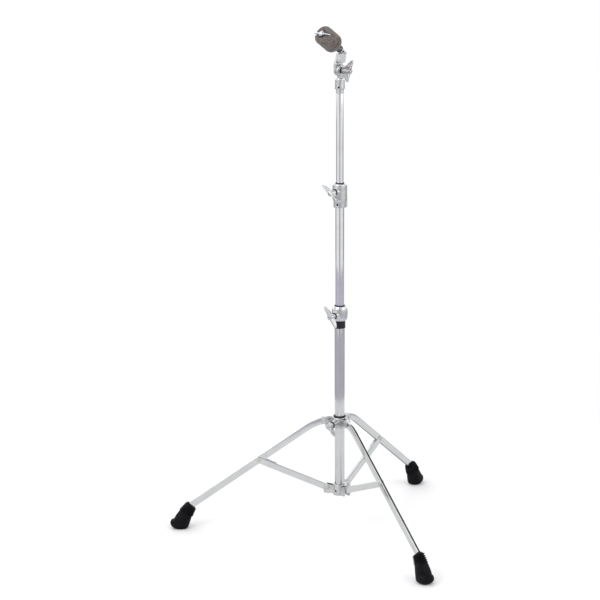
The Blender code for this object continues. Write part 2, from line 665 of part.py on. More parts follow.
def make_tilter(tube_body):
    pivot = Matrix.Translation((0, 0, TILTER_PIVOT_Z)) @ Matrix.Rotation(TILTER_AZIMUTH, 4, "Z")
    body = make_empty("tilter_base_body", Matrix(), tube_body)
    make_tilter_base(body, pivot)
    washer_frame = pivot @ Matrix.Rotation(math.radians(90), 4, "Y")
    washer = pipe(TILTER_BOLT_R + GAP, 6.8 * MM, KNUCKLE_T + GAP, TILTER_NUT_BASE - GAP, 16)
    make_object("tilter_washer", washer, NYLON, body, washer_frame)
    make_tilter_bolt(body, washer_frame)
    lean = math.radians(20)
    axis = pivot.to_3x3() @ Vector((1, 0, 0))
    wing = pivot.to_3x3() @ Vector((0, math.sin(lean), math.cos(lean)))
    start = pivot.translation + axis * TILTER_NUT_BASE
    nut_body = make_empty("tilter_wing_nut_body", frame_of(start, axis, wing), body)
    blade = wing_blade(TILTER_NUT_LENGTH - 9.4 * MM, 0.89 * MM, 1.0, 1.5, 9.0)
    make_wing_nut("tilter_wing_nut", nut_body, TILTER_BOLT_R + GAP, TILTER_NUT_LENGTH, blade, DARK)
    head_body = make_empty("tilter_head_body", pivot, body)
    make_tilter_head(head_body)


def make_tilter_base(body, pivot):
    """A sleeve over the tube's top, closed above, with one knuckle on the wing nut's side."""
    low, high = TILTER_SLEEVE_Z
    bore = UPPER_TUBE_R + GAP
    outline = [(bore, low), (TILTER_SLEEVE_R, low), (TILTER_SLEEVE_R, high - 2 * MM)]
    outline += [(9.6 * MM, high), (0, high), (0, high - 3.6 * MM), (bore, high - 3.6 * MM)]
    base = make_object("tilter_base", turned(outline, ROUND), CAST, body)
    outward = Vector((math.cos(TILTER_SCREW_AZIMUTH), math.sin(TILTER_SCREW_AZIMUTH), 0))
    matrix = frame_of(outward * TILTER_SLEEVE_R + Vector((0, 0, 985 * MM)), outward, (0, 0, 1))
    cut_hole(base, "tilter_base_screw_bore_guide", 2.0 * MM, 6 * MM, body, matrix)
    make_socket_screw("tilter_base_screw", 1.7 * MM, -2.4 * MM, -0.6 * MM, body, matrix)
    knuckle = rod_between(KNUCKLE_R, GAP / 2, KNUCKLE_T, ROUND)
    side = pivot @ Matrix.Rotation(math.radians(90), 4, "Y")
    disc = make_object("tilter_base_knuckle_guide", knuckle, CAST, body, side)
    boolean(base, disc, "UNION")
    neck_outline = [(-7.5 * MM, -18 * MM), (7.5 * MM, -18 * MM), (9 * MM, -9 * MM), (-9 * MM, -9 * MM)]
    neck_frame = pivot @ Matrix.Rotation(math.radians(-90), 4, "Z")
    neck = slab(neck_outline, GAP / 2 + 0.1 * MM, KNUCKLE_T - 0.2 * MM)
    tool = make_object("tilter_base_neck_guide", neck, CAST, body, neck_frame)
    boolean(base, tool, "UNION")
    cut_hole(base, "tilter_base_bore_guide", TILTER_BOLT_R + GAP, 30 * MM, body, side)


def make_tilter_bolt(body, side):
    """The tilter's bolt: a round head outside the head's knuckle, and a shank out through the wing nut."""
    shank = TILTER_NUT_BASE + TILTER_NUT_LENGTH + 2 * MM
    inner = -KNUCKLE_T - GAP
    tip = TILTER_BOLT_R - 0.6 * MM
    outline = [(0, inner - 2.8 * MM), (3.8 * MM, inner - 2.8 * MM), (5.2 * MM, inner - 1.8 * MM)]
    outline += [(5.6 * MM, inner), (TILTER_BOLT_R, inner), (TILTER_BOLT_R, shank - 0.6 * MM)]
    outline += [(tip, shank), (0, shank)]
    make_object("tilter_bolt", turned(outline, SMALL_ROUND), STEEL, body, side)


def make_tilter_head(body):
    """Knuckle, upright arm and leaning socket in one casting, in a frame with X along the hinge axis."""
    side = Matrix.Rotation(math.radians(90), 4, "Y")
    head = make_object("tilter_head", rod_between(KNUCKLE_R, -KNUCKLE_T, -GAP / 2, ROUND), CAST, body, side)
    upright = Matrix.Rotation(math.radians(-90), 4, "Z")
    arm = [(-6 * MM, 2 * MM), (12.3 * MM, 0), (12.4 * MM, 14 * MM), (9.5 * MM, 21 * MM), (-11 * MM, 22 * MM)]
    low = slab(arm, -KNUCKLE_T + 0.1 * MM, -GAP / 2 - 0.1 * MM)
    tool = make_object("tilter_head_arm_guide", low, CAST, body, upright)
    boolean(head, tool, "UNION")
    bridge = [(-10 * MM, 16 * MM), (8 * MM, 16 * MM), (5 * MM, 36 * MM), (-13 * MM, 31 * MM)]
    tool = make_object("tilter_head_bridge_guide", slab(bridge, -6.9 * MM, 6.3 * MM), CAST, body, upright)
    boolean(head, tool, "UNION")
    rod = rod_frame(upright)
    outward = Vector((0.3, 1, 0)).normalized()
    screw = rod @ frame_of(outward * SOCKET_R + Vector((0, 0, -5 * MM)), outward, (0, 0, 1))
    make_socket_screw("tilter_head_screw", 1.6 * MM, -2.9 * MM, -0.5 * MM, body, screw)
    socket_outline = [(0, -SOCKET_LENGTH), (SOCKET_R - 3.2 * MM, -SOCKET_LENGTH)]
    socket_outline += [(SOCKET_R, 3.2 * MM - SOCKET_LENGTH), (SOCKET_R, -0.8 * MM)]
    socket_outline += [(SOCKET_R - 0.8 * MM, 0), (0, 0)]
    tool = make_object("tilter_head_socket_guide", turned(socket_outline, 20), CAST, body, rod)
    boolean(head, tool, "UNION")
    cut_hole(head, "tilter_head_screw_guide", 1.9 * MM, 3.2 * MM, body, screw)
    cut_hole(head, "tilter_head_bore_guide", TILTER_BOLT_R + GAP, 30 * MM, body, side)
    hole = rod_between(ROD_R + GAP, -ROD_BURIED - 0.6 * MM, 5 * MM)
    well = make_object("tilter_head_well_guide", hole, CAST, body, rod)
    boolean(head, well, "DIFFERENCE")
    make_rod_stack(body, rod)


def rod_frame(upright):
    """The frame at the socket's mouth with Z along the rod; upright has X forward and Z up."""
    forward, up = ROD_SEAT
    return upright @ Matrix.Translation((forward, 0, up)) @ Matrix.Rotation(ROD_LEAN, 4, "Y")


def make_rod_stack(body, rod):
    rod_outline = [(0, -ROD_BURIED), (ROD_R, -ROD_BURIED), (ROD_R, ROD_LENGTH - 0.8 * MM)]
    rod_outline += [(ROD_R - 0.8 * MM, ROD_LENGTH)]
    make_object("cymbal_rod", turned(rod_outline + [(0, ROD_LENGTH)], SMALL_ROUND), CHROME, body, rod)
    bore = ROD_R + GAP
    make_object("seat_ring", pipe(bore, 7.2 * MM, *SEAT_RING, 16), NYLON, body, rod)
    make_object("cup_washer", pipe(bore, 6.6 * MM, *CUP_WASHER, 16), CHROME, body, rod)
    low, high = SLEEVE_FLANGE
    top = UPPER_FELT[1] - 1.5 * MM
    sleeve = [(bore, low), (6.8 * MM, low), (6.8 * MM, high), (SLEEVE_R, high), (SLEEVE_R, top), (bore, top)]
    make_object("cymbal_sleeve", turned(sleeve, 16), NYLON, body, rod)
    low, high = LOWER_FELT
    outline = [(FELT_BORE, low), (7.0 * MM, low), (8.6 * MM, low + 3 * MM), (12.4 * MM, low + 6.2 * MM)]
    outline += [(16 * MM, low + 9.1 * MM), (18.9 * MM, low + 12.4 * MM), (FELT_R, low + 18.2 * MM)]
    outline += [(FELT_R, high - 1.2 * MM), (FELT_R - 0.9 * MM, high), (FELT_BORE, high)]
    make_object("lower_felt", turned(outline, 18), FELT, body, rod)
    felt_body = make_empty("upper_felt_body", rod, body)
    low, high = UPPER_FELT
    outline = [(FELT_BORE, low), (FELT_R - 0.9 * MM, low), (FELT_R, low + 1.2 * MM), (FELT_R, high - 4 * MM)]
    outline += [(FELT_R - 1.5 * MM, high - 1 * MM), (FELT_R - 4.4 * MM, high), (FELT_BORE, high)]
    make_object("upper_felt", turned(outline, 18), FELT, felt_body)
    nut_body = make_empty("top_wing_nut_body", Matrix.Translation((0, 0, TOP_NUT_BASE)), felt_body)
    blade = wing_blade(3.1 * MM, 0.91 * MM, 0.42, -0.75)
    make_wing_nut("top_wing_nut", nut_body, ROD_R + GAP, TOP_NUT_LENGTH, blade, CHROME)


# ---- the whole stand -----------------------------------------------------------------------------

make_column()
lower_turn, upper_turn = math.radians(35), math.radians(54)
lower_end, upper_end = LOWER_TUBE_R + GAP, MIDDLE_TUBE_R + GAP
make_bolt_set("lower_wing_bolt", lower_turn, LOWER_BOLT_Z, LOWER_BOSS_FACE, lower_end, stand, stand)
leg_collar_body = make_leg_collar()
for side_name, side_azimuth in SIDES.items():
    make_leg(side_name, side_azimuth, leg_collar_body)
    make_strut(side_name, side_azimuth)
middle = make_middle_tube()
make_bolt_set("upper_wing_bolt", upper_turn, UPPER_BOLT_Z, UPPER_BOSS_FACE, upper_end, middle, middle)
upper = make_upper_tube(middle)
make_tilter(upper)
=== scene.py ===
import json
import math

import bmesh
import bpy
from mathutils import Matrix, Vector, noise


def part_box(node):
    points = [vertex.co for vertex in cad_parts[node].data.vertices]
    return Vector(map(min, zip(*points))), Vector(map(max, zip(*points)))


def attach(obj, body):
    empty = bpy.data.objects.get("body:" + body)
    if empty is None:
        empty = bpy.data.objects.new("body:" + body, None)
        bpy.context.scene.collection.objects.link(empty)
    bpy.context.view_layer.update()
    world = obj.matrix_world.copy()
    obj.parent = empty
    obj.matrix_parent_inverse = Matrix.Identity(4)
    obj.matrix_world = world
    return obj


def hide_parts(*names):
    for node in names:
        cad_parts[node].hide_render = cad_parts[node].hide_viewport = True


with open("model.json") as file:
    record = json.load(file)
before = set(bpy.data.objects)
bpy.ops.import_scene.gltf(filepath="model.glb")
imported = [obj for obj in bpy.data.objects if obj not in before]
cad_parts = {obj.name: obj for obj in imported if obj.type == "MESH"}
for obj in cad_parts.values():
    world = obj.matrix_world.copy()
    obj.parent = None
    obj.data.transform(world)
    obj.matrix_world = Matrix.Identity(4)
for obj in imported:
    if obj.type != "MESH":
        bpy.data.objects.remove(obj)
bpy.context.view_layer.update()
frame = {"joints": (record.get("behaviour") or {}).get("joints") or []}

MM = 0.001
GAP = 0.3 * MM
FINE = 96  # sides of tubes and large turned pieces
SMALL = 48  # sides of pins, screws and nuts
PAST = 9 * MM  # how far a cutting tool runs past what it cuts
SIDES = ("left", "front", "rear")

# ---- sizes shared with the solid parts ----
TUBE_WALL = 1.2 * MM
LEG_DEPTH, LEG_WIDTH, LEG_WALL = 15.4 * MM, 6.4 * MM, 1.2 * MM
LEG_START_SLOPE, LEG_SLOPE = math.radians(16), math.radians(35.2)
LEG_BEND_R = 100 * MM
LEG_END_R = 339 * MM
LEG_HINGE_Z = 250 * MM  # over the datum
LEG_EAR_T = 2.4 * MM
STRUT_DEPTH, STRUT_WIDTH, STRUT_WALL = 14.4 * MM, 9.6 * MM, 1.2 * MM
STRUT_WEB_CUT = 40 * MM
STRUT_EAR_T = 2.0 * MM
EAR_EXTRA = 0.2 * MM  # cast ears are drawn this much thicker
PIN_HEAD_R, PIN_HEAD_T = 4.7 * MM, 1.8 * MM
RIVET_HEAD_R = 4.4 * MM
STUD_R = 3.0 * MM
BOLT_WASHER_T = 1.5 * MM
KNUCKLE_R, KNUCKLE_T = 12.5 * MM, 7.0 * MM
ROD_R = 3.9 * MM
ROD_LEAN = math.radians(55.5)
ROD_SEAT = 43.6 * MM  # height of the socket's mouth over the hinge
ROD_LENGTH, ROD_BURIED = 68 * MM, 13.4 * MM
SOCKET_R, SOCKET_LENGTH = 7.6 * MM, 18 * MM
LOWER_FELT = (6.5 * MM, 29.1 * MM)
UPPER_FELT = (29.4 * MM, 64.4 * MM)
FELT_PRESSED = 60.9 * MM  # the upper felt's end under the top wing nut
FELT_R, FELT_BORE = 20.9 * MM, 5.6 * MM
BOLT_TURNS = {  # degrees from upright
    "leg_wing_bolt": 42,
    "lower_wing_bolt": 35,
    "upper_wing_bolt": 54,
}

# ---- camera and studio ----
CAMERA_DISTANCE = 3920.6 * MM
CAMERA_HEIGHT = 1485.1 * MM  # over the stand's datum
CAMERA_YAW, CAMERA_PITCH, CAMERA_ROLL = -1.2604, 13.7998, -0.2550  # degrees
CAMERA_TURN = 0.45  # degrees round the tube axis
CAMERA_LENS = 111.5
FLOOR_R, FLOOR_T = 1.05, 0.02
FLAG_START, FLAG_R = 1.04, 3.1

# ---- places from the frame ----
JOINTS = {joint["name"]: joint for joint in frame["joints"]}


def place(name):
    return Vector(JOINTS[name]["pos_m"])


def axis_of(name):
    return Vector(JOINTS[name]["axis"])


def middle_of(node):
    low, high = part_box(node)
    return (low + high) / 2


def span(node):
    """A node's lowest and highest z."""
    low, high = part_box(node)
    return low.z, high.z


AXIS_X = middle_of("lower_tube").x
DATUM = place("leg_left_hinge").z - LEG_HINGE_Z
STAND = Matrix.Translation((AXIS_X, 0, DATUM))  # for what is drawn from the datum
ON_AXIS = Matrix.Translation((AXIS_X, 0, 0))  # for what is drawn at its height in the frame

# ---- materials ----


class Nodes:
    """A material's node tree, with short calls for the nodes used here."""

    def __init__(self, name):
        self.material = bpy.data.materials.new(name)
        self.material.use_nodes = True
        self.tree = self.material.node_tree
        self.shader = self.tree.nodes["Principled BSDF"]
        self.object = self.tree.nodes.new("ShaderNodeTexCoord").outputs["Object"]

    def link(self, source, target):
        self.tree.links.new(source, target)

    def node(self, kind, source, socket, values):
        """A new node with a source linked to one socket and values set on others."""
        node = self.tree.nodes.new("ShaderNode" + kind)
        for name, value in values.items():
            node.inputs[name].default_value = value
        self.link(source, node.inputs[socket])
        return node

    def stretch(self, scale):
        return self.node("Mapping", self.object, "Vector", {"Scale": scale}).outputs["Vector"]

    def noise(self, scale, detail=4.0, roughness=0.55, vector=None):
        values = {"Scale": scale, "Detail": detail, "Roughness": roughness}
        return self.node("TexNoise", vector or self.object, "Vector", values).outputs["Fac"]

    def ramp(self, source, stops):
        node = self.tree.nodes.new("ShaderNodeValToRGB")
        ramp = node.color_ramp
        while len(ramp.elements) < len(stops):
            ramp.elements.new(0.5)
        for element, (position, colour) in zip(ramp.elements, stops):
            element.position = position
            element.color = (*colour, 1)
        self.link(source, node.inputs["Fac"])
        return node.outputs["Color"]

    def spread(self, source, low, high):
        """Maps a noise's usual 0.3 to 0.7 onto low to high."""
        values = {"From Min": 0.3, "From Max": 0.7, "To Min": low, "To Max": high}
        return self.node("MapRange", source, "Value", values).outputs["Result"]

    def mix(self, share, first, second):
        node = self.tree.nodes.new("ShaderNodeMix")
        node.data_type = "RGBA"
        self.link(share, node.inputs["Factor"])
        self.link(first, node.inputs["A"])
        self.link(second, node.inputs["B"])
        return node.outputs["Result"]

    def bump(self, height, strength, distance, after=None):
        node = self.node("Bump", height, "Height", {"Strength": strength, "Distance": distance})
        if after:
            self.link(after, node.inputs["Normal"])
        return node.outputs["Normal"]

    def connect(self, colour, roughness, normal):
        """Wire the shader up and return the material. Roughness may be None, for a constant."""
        for socket, source in (("Base Color", colour), ("Roughness", roughness), ("Normal", normal)):
            if source is not None:
                self.link(source, self.shader.inputs[socket])
        return self.material


def chrome(name, tint, low, high):
    """Plated steel: faint clouding, fine polishing scratches along Z and a slightly uneven roughness."""
    m = Nodes(name)
    m.shader.inputs["Metallic"].default_value = 1.0
    dark = [c * 0.93 for c in tint]
    colour = m.ramp(m.noise(38, 5), [(0.3, dark), (0.62, tint)])
    scratches = m.noise(1.0, 3, 0.6, m.stretch((2600, 2600, 90)))
    return m.connect(colour, m.spread(m.noise(160, 4), low, high), m.bump(scratches, 0.035, 0.02 * MM))


def casting(name, tint, low, high):
    """Satin-plated zinc casting: fine pebbling under the plating, with duller hollows."""
    m = Nodes(name)
    m.shader.inputs["Metallic"].default_value = 1.0
    m.shader.inputs["Coat Weight"].default_value = 0.12
    m.shader.inputs["Coat Roughness"].default_value = 0.12
    dark = [c * 0.74 for c in tint]
    colour = m.ramp(m.noise(90, 6, 0.6), [(0.32, dark), (0.6, tint)])
    pebble = m.bump(m.noise(1100, 3), 0.12, 0.08 * MM)
    waves = m.bump(m.noise(190, 3), 0.16, 0.2 * MM, pebble)
    return m.connect(colour, m.spread(m.noise(420, 4), low, high), waves)


def rivet_steel():
    """Bare steel with brownish stains."""
    m = Nodes("rivet_steel")
    m.shader.inputs["Metallic"].default_value = 1.0
    stops = [(0.32, (0.30, 0.26, 0.22)), (0.52, (0.52, 0.49, 0.45)), (0.7, (0.66, 0.64, 0.6))]
    colour = m.ramp(m.noise(520, 6, 0.7), stops)
    return m.connect(colour, m.spread(m.noise(900, 3), 0.26, 0.5), m.bump(m.noise(1400, 4), 0.15, 0.06 * MM))


def dark_plating(name, tint, low, high):
    """Dark nickel: darker in the hollows, with light wear where noise peaks."""
    m = Nodes(name)
    m.shader.inputs["Metallic"].default_value = 0.9
    dark, worn = [c * 0.7 for c in tint], [min(1, c * 1.9) for c in tint]
    colour = m.ramp(m.noise(260, 6, 0.65), [(0.3, dark), (0.56, tint), (0.78, worn)])
    return m.connect(colour, m.spread(m.noise(700, 4), low, high), m.bump(m.noise(1300, 3), 0.12, 0.06 * MM))


def nylon():
    """Black moulded nylon with a slight purple cast and a fine spark-eroded grain."""
    m = Nodes("black_nylon")
    m.shader.inputs["Specular IOR Level"].default_value = 0.22
    colour = m.ramp(m.noise(300, 5), [(0.3, (0.006, 0.005, 0.010)), (0.68, (0.018, 0.015, 0.030))])
    return m.connect(colour, m.spread(m.noise(800, 3), 0.34, 0.52), m.bump(m.noise(1800, 4), 0.22, 0.06 * MM))


def rubber():
    """Matt moulded rubber: fine grain, with slightly dustier patches."""
    m = Nodes("black_rubber")
    m.shader.inputs["Specular IOR Level"].default_value = 0.06
    stops = [(0.34, (0.003, 0.003, 0.004)), (0.6, (0.007, 0.007, 0.008)), (0.8, (0.018, 0.018, 0.019))]
    colour = m.ramp(m.noise(70, 7, 0.62), stops)
    grain = m.bump(m.noise(1500, 4, 0.6), 0.3, 0.09 * MM)
    waves = m.bump(m.noise(160, 3), 0.18, 0.25 * MM, grain)
    return m.connect(colour, m.spread(m.noise(240, 4), 0.42, 0.66), waves)


def felt():
    """Pressed wool: brown and grey fibres in long tangled streaks, with a soft sheen."""
    m = Nodes("grey_felt")
    streaks = m.noise(1.0, 8, 0.7, m.stretch((420, 900, 260)))
    tangle = m.noise(650, 9, 0.72)
    stops = [(0.32, (0.030, 0.022, 0.018)), (0.48, (0.105, 0.081, 0.070)), (0.66, (0.245, 0.205, 0.185))]
    brown = m.ramp(streaks, stops)
    stops = [(0.32, (0.038, 0.033, 0.033)), (0.5, (0.130, 0.115, 0.114)), (0.68, (0.33, 0.305, 0.295))]
    grey = m.ramp(tangle, stops)
    patches = m.ramp(m.noise(90, 5), [(0.42, (0, 0, 0)), (0.58, (1, 1, 1))])
    m.shader.inputs["Roughness"].default_value = 0.95
    m.shader.inputs["Specular IOR Level"].default_value = 0.12
    m.shader.inputs["Sheen Weight"].default_value = 0.2
    m.shader.inputs["Sheen Roughness"].default_value = 0.5
    fibres = m.bump(tangle, 0.75, 0.5 * MM)
    return m.connect(m.mix(patches, brown, grey), None, m.bump(streaks, 0.6, 0.6 * MM, fibres))


CHROME = chrome("chrome", (0.64, 0.645, 0.655), 0.05, 0.10)
TUBE_GREY = chrome("lower_tube_chrome", (0.545, 0.55, 0.555), 0.07, 0.12)
PRESSED = chrome("pressed_chrome", (0.56, 0.57, 0.57), 0.08, 0.14)
# Painted light: a much lighter copy of the pressed chrome for the channels' inner faces, lifting the shade
# that falls inside them.
INSIDE_PAINTED_LIGHT = chrome("pressed_inside_painted_light", (0.84, 0.845, 0.85), 0.38, 0.5)
CAST = casting("cast_chrome", (0.54, 0.55, 0.55), 0.22, 0.38)
STEEL = rivet_steel()
DARK = dark_plating("dark_plating", (0.37, 0.37, 0.38), 0.2, 0.36)
SCREW_BLACK = dark_plating("black_oxide", (0.025, 0.025, 0.028), 0.35, 0.55)
NYLON = nylon()
RUBBER = rubber()
FELT = felt()


# ---- mesh building ----


def add_object(name, data):
    item = bpy.data.objects.new(name, data)
    bpy.context.scene.collection.objects.link(item)
    return item


def new_object(name, solid, matrix=None):
    """An object of a bmesh, with its faces turned outward."""
    if matrix:
        solid.transform(matrix)
    bmesh.ops.recalc_face_normals(solid, faces=solid.faces)
    mesh = bpy.data.meshes.new(name)
    solid.to_mesh(mesh)
    solid.free()
    return add_object(name, mesh)


def helper(solid, matrix=None):
    """A temporary object of a bmesh, for Booleans."""
    return new_object("helper", solid, matrix)


def finish_piece(name, solid, material, body, node, sharp=38, matrix=None, inside=None):
    """Make a piece of a bmesh that rides on a body and stands for a CAD node."""
    piece = new_object(name, solid, matrix)
    mesh = piece.data
    mesh.shade_smooth()
    mesh.set_sharp_from_angle(angle=math.radians(sharp))
    mesh.materials.append(material)
    # A second material, when given, is the painted light on a channel's inner faces.
    if inside:
        mesh.materials.append(inside)
    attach(piece, body)
    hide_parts(node)
    return piece


def finish_cast(node, body, solid):
    finish_piece(node + "_cast", solid, CAST, body, node, 180)


def finish_steel(name, node, body, solid, matrix):
    finish_piece(name, solid, STEEL, body, node, 60, matrix)


def finish_nylon(node, body, solid, matrix):
    finish_piece(node + "_moulded", solid, NYLON, body, node, matrix=matrix)


def mm(points, rise=0.0):
    """Outline points given in mm, raised by a height in metres."""
    return [(x * MM, rise + y * MM) for x, y in points]


def band(inner, outer, low, high):
    """The outline of a plain ring."""
    return [(inner, low), (outer, low), (outer, high), (inner, high)]


def clamped(value):
    return max(0.0, min(1.0, value))


def oval(count, power_x, power_y, shift=0.0):
    """Points round the unit circle, squared up by powers below 1."""
    points = []
    for i in range(count):
        angle = 2 * math.pi * (i + shift) / count
        c, s = math.cos(angle), math.sin(angle)
        points.append((math.copysign(abs(c) ** power_x, c), math.copysign(abs(s) ** power_y, s)))
    return points


def soften(outline, radius, steps=4):
    """Round every corner of a closed outline off the axis by about the given radius."""
    count = len(outline)
    result = []
    for i, point in enumerate(outline):
        corner = Vector(point)
        before = Vector(outline[i - 1]) - corner
        after = Vector(outline[(i + 1) % count]) - corner
        if corner.x == 0 or before.length == 0 or after.length == 0:
            result.append(tuple(corner))
            continue
        start = corner + before.normalized() * min(radius, before.length / 2.2)
        end = corner + after.normalized() * min(radius, after.length / 2.2)
        for k in range(steps + 1):
            t = k / steps
            result.append(tuple(start * (1 - t) ** 2 + corner * 2 * t * (1 - t) + end * t * t))
    return result


def lofted(rings, closed=False):
    """A solid through rings of points, capped at both ends, or joined end to end if closed."""
    solid = bmesh.new()
    loops = [[solid.verts.new(point) for point in ring] for ring in rings]
    count = len(loops[0])
    pairs = list(zip(loops, loops[1:]))
    if closed:
        pairs.append((loops[-1], loops[0]))
    for lower, upper in pairs:
        for i in range(count):
            j = (i + 1) % count
            solid.faces.new((lower[i], lower[j], upper[j], upper[i]))
    if not closed:
        solid.faces.new(loops[0][::-1])
        solid.faces.new(loops[-1])
    return solid


def turned(outline, segments=FINE):
    """Revolve a closed (radius, height) outline about Z. Points on the axis become poles."""
    solid = bmesh.new()
    turns = [2 * math.pi * i / segments for i in range(segments)]
    circle = [(math.cos(a), math.sin(a)) for a in turns]
    rings = []
    for radius, height in outline:
        if radius == 0:
            rings.append([solid.verts.new((0, 0, height))] * segments)
        else:
            rings.append([solid.verts.new((radius * c, radius * s, height)) for c, s in circle])
    for here, there in zip(rings, rings[1:] + rings[:1]):
        for i in range(segments):
            j = (i + 1) % segments
            corners = list(dict.fromkeys((here[i], here[j], there[j], there[i])))
            if len(corners) > 2:
                solid.faces.new(corners)
    return solid


def slab(outline, low, high):
    """Extrude an outline in the XZ plane along Y."""
    return lofted([[(x, y, z) for x, z in outline] for y in (low, high)])


def block(x, y, z):
    return slab([(x[0], z[0]), (x[1], z[0]), (x[1], z[1]), (x[0], z[1])], *y)


def arc(centre, radius, start, stop, steps):
    points = []
    for i in range(steps + 1):
        angle = math.radians(start + (stop - start) * i / steps)
        points.append((centre[0] + radius * math.cos(angle), centre[1] + radius * math.sin(angle)))
    return points


def rod(radius, low, high, segments=SMALL):
    return turned(band(0, radius, low, high), segments)


def basis(x, y, z):
    """The turn whose axes are the given directions."""
    return Matrix((x, y, z)).transposed().to_4x4()


def frame_of(origin, z_axis, y_axis):
    """A frame at origin, with its Z axis and, near enough, its Y axis given."""
    z = Vector(z_axis).normalized()
    x = Vector(y_axis).cross(z).normalized()
    return Matrix.Translation(origin) @ basis(x, z.cross(x), z)


def across(origin):
    """A frame at origin whose Z axis lies along Y."""
    return Matrix.Translation(origin) @ Matrix.Rotation(math.radians(-90), 4, "X")


def fuse(adds, cuts, voxel=0.0, passes=0):
    """Union and cut solids. With a voxel size the result is remeshed and smoothed, like a casting."""
    target = adds[0]
    for operation, tools in (("UNION", adds[1:]), ("DIFFERENCE", cuts)):
        for tool in tools:
            modifier = target.modifiers.new("boolean", "BOOLEAN")
            modifier.operation = operation
            modifier.solver = "EXACT"
            modifier.object = tool
    if voxel:
        remesh = target.modifiers.new("remesh", "REMESH")
        remesh.mode = "VOXEL"
        remesh.voxel_size = voxel
        smooth = target.modifiers.new("smooth", "SMOOTH")
        smooth.factor = 0.5
        smooth.iterations = passes
    bpy.context.view_layer.update()
    evaluated = target.evaluated_get(bpy.context.evaluated_depsgraph_get())
    result = bmesh.new()
    result.from_mesh(evaluated.to_mesh())
    evaluated.to_mesh_clear()
    for item in adds + cuts:
        mesh = item.data
        bpy.data.objects.remove(item)
        bpy.data.meshes.remove(mesh)
    return result


# ---- tubes and turned nylon ----


def tube_radius(node):
    low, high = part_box(node)
    return (high.x - low.x) / 2


LOWER_R, MIDDLE_R, UPPER_R = (tube_radius(part + "_tube") for part in ("lower", "middle", "upper"))


def make_sleeve(node, body, inner, outer, soft):
    """A nylon ring on the tube axis, as high as its node."""
    solid = turned(soften(band(inner, outer, *span(node)), soft))
    finish_nylon(node, body, solid, ON_AXIS)


def make_tube(node, body, material):
    """A tube with rolled rims, at its node's diameter and length."""
    outer = tube_radius(node)
    solid = turned(soften(band(outer - TUBE_WALL, outer, *span(node)), 0.5 * MM))
    finish_piece(node + "_drawn", solid, material, body, node, matrix=ON_AXIS)


# ---- the tilter's frames ----

PIVOT = place("tilter_tilt")
HINGE = axis_of("tilter_tilt")
FORWARD = Vector((axis_of("upper_felt_lift").x, axis_of("upper_felt_lift").y, 0)).normalized()
UPRIGHT = Matrix.Translation(PIVOT) @ basis(FORWARD, HINGE, (0, 0, 1))
SIDEWAYS = UPRIGHT @ across((0, 0, 0))
ROD_FRAME = UPRIGHT @ Matrix.Translation((0, 0, ROD_SEAT)) @ Matrix.Rotation(ROD_LEAN, 4, "Y")


# ---- set screws ----


def heading(degrees):
    return Vector((math.cos(math.radians(degrees)), math.sin(math.radians(degrees)), 0))


SET_SCREWS = {  # the body each is in, its outward direction and its radius
    "lower_collar_screw": ("base", heading(-125), 2.0 * MM),
    "upper_clamp_screw": ("middle_tube", heading(-113), 2.0 * MM),
    "tilter_base_screw": ("tilter_base", heading(-103), 1.7 * MM),
    "tilter_head_screw": ("tilter_head", ROD_FRAME.to_3x3() @ Vector((0.3, 1, 0)), 1.6 * MM),
}


def screw_frame(node):
    return frame_of(middle_of(node), SET_SCREWS[node][1], (0, 0, 1))


def screw_hole(node, depth, reach=PAST):
    """The tool for a set screw's hole, from depth below the screw's middle out to reach."""
    return helper(rod(SET_SCREWS[node][2] + GAP, -depth, reach), screw_frame(node))


def make_set_screw(node):
    """A cup-point set screw with a hexagonal socket, lying in its hole."""
    body, _, radius = SET_SCREWS[node]
    half, chamfer = 1.2 * MM, 0.3 * MM
    outline = [(0, -half), (radius * 0.8, -half), (radius, -half + chamfer)]
    outline += [(radius, half - chamfer), (radius * 0.85, half), (0, half)]
    solid = fuse([helper(turned(outline, 32))], [helper(rod(radius * 0.55, 0, 2 * half, 6))])
    finish_piece(node + "_hex", solid, SCREW_BLACK, body, node, 30, screw_frame(node))


# ---- wing bolts and nuts ----

WING_STATIONS = (  # distance from the hub's axis, flare, half width and half thickness, in mm
    (0.0, 2.0, 7.5, 3.7),
    (4.5, 2.1, 7.4, 3.3),
    (8.1, 2.35, 7.25, 2.8),
    (11.7, 2.8, 6.9, 2.4),
    (15.3, 3.4, 6.3, 2.15),
    (18.9, 4.1, 5.5, 1.95),
    (22.0, 4.75, 4.5, 1.8),
    (24.3, 5.3, 3.4, 1.6),
    (25.6, 5.6, 2.2, 1.35),
    (26.4, 5.8, 1.0, 0.9),
)
PANEL = 0.55  # depth of the pressed panel, in mm
PANEL_START, PANEL_END = 7.6, 24.4  # along the wing, in mm
BOLT_HUB_R, NUT_HUB_R = 6.2 * MM, 6.3 * MM


def wing_ring(y, centre, width, thickness, root, depth):
    """One cross-section of a wing: a rounded bar with a shallow panel in both broad sides."""
    ring = []
    for c, s in oval(36, 0.45, 0.75, 0.5):
        z = width * s
        inside = clamped((0.74 - abs(s)) / 0.16)
        x = thickness * c - math.copysign(depth * inside, c)
        ring.append(Vector((x, y, centre + z - root * max(0.0, -s))))
    return ring


def wing_blade(middle, size, flatten=1.0, lift=1.0, root=0.0):
    """Both wings as one blade along Y, with steps between the stations.

    lift scales how far the tips flare along Z, and root lets the lower edge run down along the hub.
    """
    fine = []
    for here, there in zip(WING_STATIONS, WING_STATIONS[1:]):
        for k in range(4):
            fine.append([h + (t - h) * k / 4 for h, t in zip(here, there)])
    fine.append(list(WING_STATIONS[-1]))
    rings = []
    for sign, stations in ((-1, fine[:0:-1]), (1, fine)):
        for y, flare, width, thickness in stations:
            depth = PANEL * clamped((y - PANEL_START) / 1.8) * clamped((PANEL_END - y) / 1.5)
            fade = root * (1 - y / WING_STATIONS[-1][0])
            ring = wing_ring(sign * y, flare * lift, width, thickness, fade, depth)
            rings.append([(p.x * size, p.y * size, middle + p.z * size * flatten) for p in ring])
    return lofted(rings)


